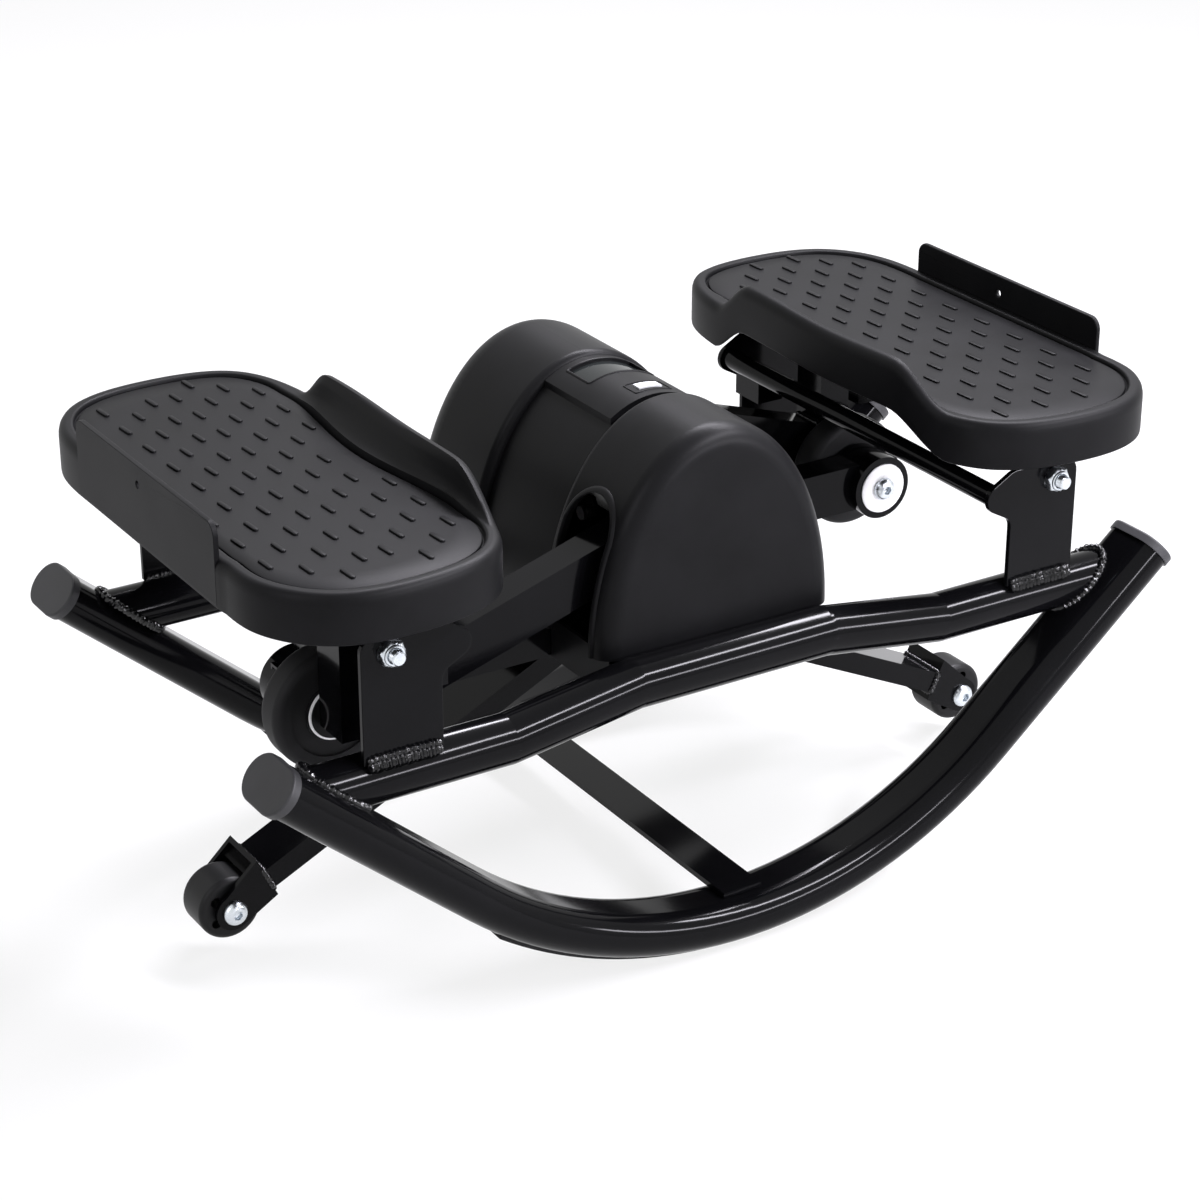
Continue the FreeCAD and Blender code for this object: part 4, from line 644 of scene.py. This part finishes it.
def make_hinge_hardware():
    """Bolts, lock nuts and axle screws in detail, in the places of the plain ones."""
    nuts = []
    for side, mark in SIDES.items():
        bolt = add_mesh(f"{side}_hinge_bolt_detail", *hinge_bolt(side), "frame", "zinc", ZINC)
        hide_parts(f"{side}_hinge_bolt")
        nuts.append(lock_nut((mark * HINGE_X, -NUT_SEAT_Y, HINGE_Z), FORWARD))
        nuts.append(lock_nut((mark * AXLE_X, FORK_SEAT_Y, AXLE_Z), BACKWARD))
    nut_piece = add_mesh("lock_nut_details", *join_shapes(nuts), "frame", "zinc", ZINC)
    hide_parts("lock_nuts")
    screws = []
    for mark in SIDES.values():
        front = (mark * AXLE_X, -FORK_SEAT_Y, AXLE_Z)
        back = (mark * AXLE_X, FORK_SEAT_Y, AXLE_Z)
        screws.append(button_head(front, FORWARD))
        screws.append(lathe([(0, THREAD_RADIUS), (2 * FORK_SEAT_Y, THREAD_RADIUS)], front, BACKWARD, 32))
        screws.append(thread_stub(back, BACKWARD, AXLE_TIP))
    screw_piece = add_mesh("wheel_axle_bolt_details", *join_shapes(screws), "frame", "zinc", ZINC)
    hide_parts("wheel_axle_bolts")


# Rollers

ROLLER_X, ROLLER_Z = 0.257, 0.2025
ROLLER_INNER, ROLLER_OUTER = 0.026, 0.085
WASHER_THICK = 1.5
# outlines in mm: distance along the axis, radius
WASHER_OUTLINE = [(0, 5.1), (0, 18.6), (0.4, 19), (1.1, 18.9), (WASHER_THICK, 18.3), (WASHER_THICK, 12),
                  (1.2, 10.8), (1.2, 9.4), (WASHER_THICK, 8.4), (WASHER_THICK, 5.1)]
COVER_OUTLINE = [(0, 5.3), (0, 17.6), (0.4, 17.2), (0.4, 5.3)]


def make_roller_hardware():
    """Round washers and domed heads of the roller bolts."""
    bolts, washers = [], []
    grip = ROLLER_OUTER - ROLLER_INNER
    for mark in SIDES.values():
        inner = (mark * ROLLER_X, mark * ROLLER_INNER, ROLLER_Z)
        outer = (mark * ROLLER_X, mark * ROLLER_OUTER, ROLLER_Z)
        seat = (mark * ROLLER_X, mark * (ROLLER_INNER - WASHER_THICK * MM), ROLLER_Z)
        toward, away = (0, -mark, 0), (0, mark, 0)
        bolts.append(button_head(seat, toward))
        shank = [(0, THREAD_RADIUS), (grip + 2.7 * MM, THREAD_RADIUS), (grip + 3.0 * MM, 4.4 * MM)]
        bolts.append(lathe(shank, seat, away, 32))
        washers.append(washer_shape(WASHER_OUTLINE, inner, toward))
        washers.append(washer_shape(WASHER_OUTLINE, outer, away))
    bolt_piece = add_mesh("roller_bolt_details", *join_shapes(bolts), "frame", "zinc", ZINC)
    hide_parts("roller_bolts")
    washer_piece = add_mesh("nylon_washer_details", *join_shapes(washers), "frame", "white_nylon", NYLON)
    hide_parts("nylon_washers")
    # a dark cover leaves only the rim of the front washer white
    front_face = (-ROLLER_X, -ROLLER_OUTER - WASHER_THICK * MM, ROLLER_Z)
    cover = washer_shape(COVER_OUTLINE, front_face, FORWARD)
    add_mesh("washer_cover", *cover, "frame", "housing_plastic", WHEEL)


# Welds

WELD_STEP = 0.7
RIPPLES = [(0.16, 3.1, 0), (0.07, 7.3, 1)]
# beads at the foot of a bracket: distance from the middle plane, height in mm over the foot, radius in mm
BRACKET_BEADS = [(0.1592, 0.8, 3.2), (0.1652, -0.6, 4.2), (0.1648, 3.4, 2.6)]
BRACKET_BEAD_INSET = 2 * MM
ROCKER_BEND_X, ROCKER_RADIUS, ROCKER_CENTRE_Z, ROCKER_HALF = 0.205, 0.316, 0.334, 0.015
CHORD_BEAD, CHORD_BEAD_OUT = 3.0 * MM, 0.4 * MM
STRUT_DROP, FORK_BACK, STRUT_LIFT = math.radians(25.5), 0.031, 4 * MM
STRUT_HALF_TALL, STRUT_HALF_WIDE, FORK_BEAD = 8.2 * MM, 0.0198, 2.3 * MM
ARM_X, ARM_Y, ARM_Z, ARM_SLOPE = 0.243, 0.1025, 0.2176, math.radians(17.2)
ARM_HALF_TALL, ARM_HALF_WIDE, ARM_BEAD = 0.0165, 0.0125, 2.2 * MM


def weld_bead(points, radius, closed=False):
    """Row of overlapping ripples along a line of points."""
    points = [Vector(point) for point in points]
    fine = []
    spans = len(points) if closed else len(points) - 1
    for number in range(spans):
        start, end = points[number], points[(number + 1) % len(points)]
        pieces = max(1, int((end - start).length / (WELD_STEP * MM)))
        fine += [start.lerp(end, step / pieces) for step in range(pieces)]
    if not closed:
        fine.append(points[-1])
    rings = []
    for number, point in enumerate(fine):
        before = fine[number - 1] if number or closed else point
        after = fine[(number + 1) % len(fine)] if number < len(fine) - 1 or closed else point
        travel = number * WELD_STEP
        reach = radius * (1 + sum(depth * math.sin(travel * 2 * math.pi / length + start)
                                  for depth, length, start in RIPPLES))
        if not closed:
            reach *= 0.45 + 0.55 * min(1, number / 4, (len(fine) - 1 - number) / 4)
        rings.append(round_ring(reach, point, after - before, 0, 12))
    return loft(rings, closed_ends=not closed, closed_loop=closed)


def bracket_beads(sign, mark):
    """Beads along the foot of a bracket plate on the chord tube."""
    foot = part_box("front_left_bracket")[0].z
    first, last = BRACKET_INNER + BRACKET_BEAD_INSET, BRACKET_OUTER - BRACKET_BEAD_INSET
    beads = []
    for face, height, radius in BRACKET_BEADS:
        level, crown = foot + height * MM, foot + (height + 0.5) * MM
        line = [(mark * first, sign * face, level), (mark * (first + last) / 2, sign * face, crown),
                (mark * last, sign * face, level)]
        beads.append(weld_bead(line, radius * MM))
    return beads


def chord_bead(sign, mark):
    """Bead round the end of a chord tube, on the straight part of the rocker."""
    lean = math.asin(ROCKER_BEND_X / ROCKER_RADIUS)
    surface_z = ROCKER_CENTRE_Z - ROCKER_RADIUS * math.cos(lean) + ROCKER_HALF / math.cos(lean)
    reach = CHORD_RADIUS + CHORD_BEAD_OUT
    ring = []
    for step in range(48):
        turn = 2 * math.pi * step / 48
        z = CHORD_Z + math.sin(turn) * reach
        x = ROCKER_BEND_X + (z - surface_z) / math.tan(lean) - 0.6 * MM
        ring.append((mark * x, sign * CHORD_Y + math.cos(turn) * reach, z))
    return weld_bead(ring, CHORD_BEAD, closed=True)


def fork_bead(mark):
    """Bead round the end of a strut, on the back of its fork."""
    up = Vector((mark * math.sin(STRUT_DROP), 0, math.cos(STRUT_DROP)))
    centre = Vector((mark * (AXLE_X - FORK_BACK * math.cos(STRUT_DROP)), 0,
                     AXLE_Z + FORK_BACK * math.sin(STRUT_DROP))) + up * STRUT_LIFT
    tall, wide = up * STRUT_HALF_TALL, Vector((0, STRUT_HALF_WIDE, 0))
    corners = [centre + tall + wide, centre + tall - wide, centre - tall - wide, centre - tall + wide]
    return weld_bead(corners, FORK_BEAD, closed=True)


def lever_bead(mark):
    """Bead round the sloping arm where it meets its post."""
    x, y = mark * ARM_X, mark * ARM_Y
    half_tall = ARM_HALF_TALL / math.cos(ARM_SLOPE)
    corners = [(x, y - ARM_HALF_WIDE, ARM_Z - half_tall), (x, y + ARM_HALF_WIDE, ARM_Z - half_tall),
               (x, y + ARM_HALF_WIDE, ARM_Z + half_tall), (x, y - ARM_HALF_WIDE, ARM_Z + half_tall)]
    return weld_bead(corners, ARM_BEAD, closed=True)


def make_welds():
    beads = []
    for sign in ENDS.values():
        for mark in SIDES.values():
            beads += bracket_beads(sign, mark)
            beads.append(chord_bead(sign, mark))
    add_mesh("frame_welds", *join_shapes(beads), "frame", "black_enamel", WELD)
    fork_beads = [fork_bead(mark) for mark in SIDES.values()]
    add_mesh("fork_welds", *join_shapes(fork_beads), "frame", "black_enamel", WELD)
    for side, mark in SIDES.items():
        add_mesh(f"{side}_lever_welds", *lever_bead(mark), f"{side}_pedal_lever", "black_enamel", WELD)


# Housing details

LOBE_BASE, LOBE_RISE, LOBE_REACH = 0.215, 0.145, 0.092
# distance of a lobe's end face from the middle plane, and the rounding of its edge
LOBE_FRONT, LOBE_BACK = (0.140, 0.015), (0.126, 0.030)
# side of the housing, middle, half width and top of its arched opening
OPENINGS = [(-1, -0.100, 0.025, 0.315), (1, 0.1025, 0.017, 0.321)]
OPENING_BASE = 0.2155
# section of the rim in mm: outward along the wall, out of the wall
RIM_SECTION = [(-0.2, -2.0), (-0.2, 1.2), (0.6, 1.9), (2.6, 1.9), (3.6, 1.2), (4.0, -0.6), (4.0, -2.0)]
BEZEL_BASE, BEZEL_RISE, BEZEL_HALF = 0.215, 0.142, 0.089
# rectangles on the bezel: from and to along X, from and to along Y, then width and height of the ridge
WINDOW_RIDGE = (-0.0204, 0.0294, -0.0099, 0.0174, 1.8 * MM, 0.7 * MM)
KEY_RIDGE = (-0.0085, 0.0185, -0.0495, -0.0345, 1.2 * MM, 0.6 * MM)


def wall_place(y, z):
    """Distance of the lobes' outer wall from the middle plane at a place seen from the side."""
    face, rounding = LOBE_FRONT if y < 0 else LOBE_BACK
    past = min(rounding, max(0.0, abs(y) - face + rounding))
    inset = rounding - math.sqrt(rounding ** 2 - past ** 2)
    rise = (z - LOBE_BASE) / (LOBE_RISE - inset)
    return (LOBE_REACH - inset) * math.sqrt(max(0.0, 1 - rise * rise))


def arch_path(middle, half, top):
    """Line up one side of an opening, over its round top and down the other side."""
    straight = top - half - OPENING_BASE
    path = [(middle - half, OPENING_BASE + straight * step / 8) for step in range(9)]
    for step in range(1, 24):
        turn = math.pi - math.pi * step / 24
        path.append((middle + half * math.cos(turn), top - half + half * math.sin(turn)))
    path += [(middle + half, top - half - straight * step / 8) for step in range(9)]
    return path


def make_slot_rims():
    """Raised rim round each arched opening in the housing's side walls."""
    shapes = []
    for mark, middle, half, top in OPENINGS:
        rings = []
        for y, z in arch_path(middle, half, top):
            # outward direction in the plane of the wall
            if z <= top - half:
                out = Vector((0, math.copysign(1, y - middle), 0))
            else:
                out = Vector((0, y - middle, z - (top - half))).normalized()
            ring = []
            for shift, lift in RIM_SECTION:
                spot = Vector((0, y, z)) + out * shift * MM
                spot.x = mark * (wall_place(spot.y, spot.z) + lift * MM)
                ring.append(spot)
            rings.append(ring)
        shapes.append(loft(rings))
    add_mesh("slot_rims", *join_shapes(shapes), "frame", "housing_plastic", SHELL)


def bezel_height(x):
    """Height of the bezel's curved top over a place along X."""
    return BEZEL_BASE + BEZEL_RISE * math.sqrt(max(0.0, 1 - (x / BEZEL_HALF) ** 2))


def raised_frame(low, high, front, back, wide, tall):
    """Low ridge round a rectangle on the bezel's curved top."""
    corners = [(low, front), (high, front), (high, back), (low, back)]
    outward = [(0, -1), (1, 0), (0, 1), (-1, 0)]
    rings = []
    for number, (out_x, out_y) in enumerate(outward):
        start, end = corners[number], corners[(number + 1) % 4]
        for step in range(13):
            x = start[0] + (end[0] - start[0]) * step / 12
            y = start[1] + (end[1] - start[1]) * step / 12
            ring = []
            for share, rise in ((0, -1.0), (0, 0.5), (0.28, 1.0), (0.72, 1.0), (1.0, 0.3), (1.0, -1.0)):
                place = Vector((x + out_x * share * wide, y + out_y * share * wide))
                ring.append(Vector((place.x, place.y, bezel_height(place.x) + rise * tall)))
            rings.append(ring)
    return loft(rings, closed_ends=False, closed_loop=True)


def make_display_details():
    """Ridges round the window and round the key."""
    shapes = [raised_frame(*WINDOW_RIDGE), raised_frame(*KEY_RIDGE)]
    add_mesh("bezel_ridges", *join_shapes(shapes), "frame", "housing_plastic", SHELL)


# Hinge brackets

TIE_LOBE_X, TIE_LOBE_Z, TIE_LOBE_RADIUS = 0.2115, 0.2716, 0.0105
NECK_Z, NECK_RADIUS = 0.254, 9 * MM
OUTER_CORNER, INNER_CORNER, PLATE_EDGE = 11 * MM, 14 * MM, 0.5 * MM


def bracket_outline(foot):
    """Outline of a bracket plate with a rounded lobe for the tie rod and a concave neck."""
    corners = [(BRACKET_INNER, foot, 0), (BRACKET_OUTER, foot, 0),
               (BRACKET_OUTER, BRACKET_TOP, OUTER_CORNER),
               (BRACKET_INNER + 0.5 * MM, BRACKET_TOP, INNER_CORNER)]
    for step in range(11):
        turn = math.radians(118 + 13 * step)
        corners.append((TIE_LOBE_X + TIE_LOBE_RADIUS * math.cos(turn),
                        TIE_LOBE_Z + TIE_LOBE_RADIUS * math.sin(turn), 0))
    corners.append((BRACKET_INNER, NECK_Z, NECK_RADIUS))
    return rounded_outline(corners)


def make_brackets():
    for end in ENDS:
        for side, mark in SIDES.items():
            name = f"{end}_{side}_bracket"
            low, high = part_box(name)
            outline = bracket_outline(low.z)
            plate = loft([[Vector((mark * x, y, z)) for x, z in outline] for y in (low.y, high.y)])
            piece = add_mesh(f"{name}_plate", *plate, "frame", "black_enamel", ENAMEL)
            soften(piece, PLATE_EDGE)
            apply_modifiers(piece)
            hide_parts(name)


for side_name in SIDES:
    make_pedal(side_name)
make_hinge_hardware()
make_roller_hardware()
make_welds()
make_slot_rims()
make_display_details()
make_brackets()


# Floor, light and camera

FLOOR_REACH = 12
FLOOR_GLOW = 0.8
WORLD_LIGHT, WORLD_SEEN = 0.3, 1.0
LAMP_COLOUR = (0.94, 0.92, 1.0)
# name: place, target, size, power
LAMPS = {
    "top_strip": ((1.0, 0.5, 1.9), (0, 0, 0.2), (1.8, 0.22), 100),
    "front_strip": ((1.1, -1.3, 1.8), (0, 0, 0.2), (1.8, 0.17), 80),
    "low_strip": ((1.1, -1.9, 0.75), (0, 0, 0.15), (1.7, 0.14), 36),
    "left_soft": ((-1.9, -0.5, 1.3), (0, 0, 0.2), (0.3, 1.2), 9),
}
CAMERA_PLACE = (-1.0348, -1.6496, 1.0870)
CAMERA_TARGET = (-0.0043, 0.0027, 0.1840)
CAMERA_LENS, CAMERA_SENSOR = 92.25, 36


def viewing_rays(tree):
    """Camera, glossy and transmission rays together."""
    rays = tree.nodes.new("ShaderNodeLightPath")
    total = rays.outputs["Is Camera Ray"]
    for kind in ("Is Glossy Ray", "Is Transmission Ray"):
        most = tree.nodes.new("ShaderNodeMath")
        most.operation = "MAXIMUM"
        tree.links.new(total, most.inputs[0])
        tree.links.new(rays.outputs[kind], most.inputs[1])
        total = most.outputs[0]
    return total


def floor_material():
    """Matt paper that adds white of its own where the camera looks, so the shadow stays faint."""
    material, tree, shader = node_material("floor_paper")
    shader.inputs["Base Color"].default_value = (0.88, 0.88, 0.885, 1)
    shader.inputs["Roughness"].default_value = 0.6
    glow = tree.nodes.new("ShaderNodeEmission")
    glow.inputs["Strength"].default_value = 1.0
    mix = tree.nodes.new("ShaderNodeMixShader")
    share = tree.nodes.new("ShaderNodeMath")
    share.operation = "MULTIPLY"
    share.inputs[1].default_value = FLOOR_GLOW
    tree.links.new(viewing_rays(tree), share.inputs[0])
    tree.links.new(share.outputs[0], mix.inputs["Fac"])
    tree.links.new(shader.outputs["BSDF"], mix.inputs[1])
    tree.links.new(glow.outputs["Emission"], mix.inputs[2])
    tree.links.new(mix.outputs["Shader"], tree.nodes["Material Output"].inputs["Surface"])
    return material


def make_floor():
    """Pale floor that the camera sees almost white."""
    mesh = bpy.data.meshes.new("floor")
    reach = FLOOR_REACH
    mesh.from_pydata([(-reach, -reach, 0), (reach, -reach, 0), (reach, reach, 0), (-reach, reach, 0)], [],
                     [(0, 1, 2, 3)])
    floor = bpy.data.objects.new("floor", mesh)
    bpy.context.scene.collection.objects.link(floor)
    mesh.materials.append(floor_material())


def make_world():
    """White surroundings that light the object faintly and look fully white."""
    world = bpy.data.worlds.new("studio")
    bpy.context.scene.world = world
    world.use_nodes = True
    tree = world.node_tree
    shade = tree.nodes["Background"]
    shade.inputs["Color"].default_value = (1, 1, 1, 1)
    level = tree.nodes.new("ShaderNodeMapRange")
    level.inputs["To Min"].default_value = WORLD_LIGHT
    level.inputs["To Max"].default_value = WORLD_SEEN
    tree.links.new(viewing_rays(tree), level.inputs["Value"])
    tree.links.new(level.outputs["Result"], shade.inputs["Strength"])


def aim(holder, place, target):
    """Put a lamp or camera at a place and point it at a target."""
    holder.location = place
    direction = Vector(target) - Vector(place)
    holder.rotation_euler = direction.to_track_quat("-Z", "Y").to_euler()
    bpy.context.scene.collection.objects.link(holder)


def make_lights():
    for name, (place, target, size, power) in LAMPS.items():
        lamp = bpy.data.lights.new(name, "AREA")
        lamp.shape = "RECTANGLE"
        lamp.size, lamp.size_y = size
        lamp.energy = power
        lamp.color = LAMP_COLOUR
        aim(bpy.data.objects.new(name, lamp), place, target)


def make_camera():
    camera = bpy.data.cameras.new("camera")
    camera.sensor_width = CAMERA_SENSOR
    camera.lens = CAMERA_LENS
    camera.clip_end = 100
    holder = bpy.data.objects.new("camera", camera)
    aim(holder, CAMERA_PLACE, CAMERA_TARGET)
    bpy.context.scene.camera = holder


make_floor()
make_world()
make_lights()
make_camera()
bpy.context.scene.view_settings.view_transform = "Standard"
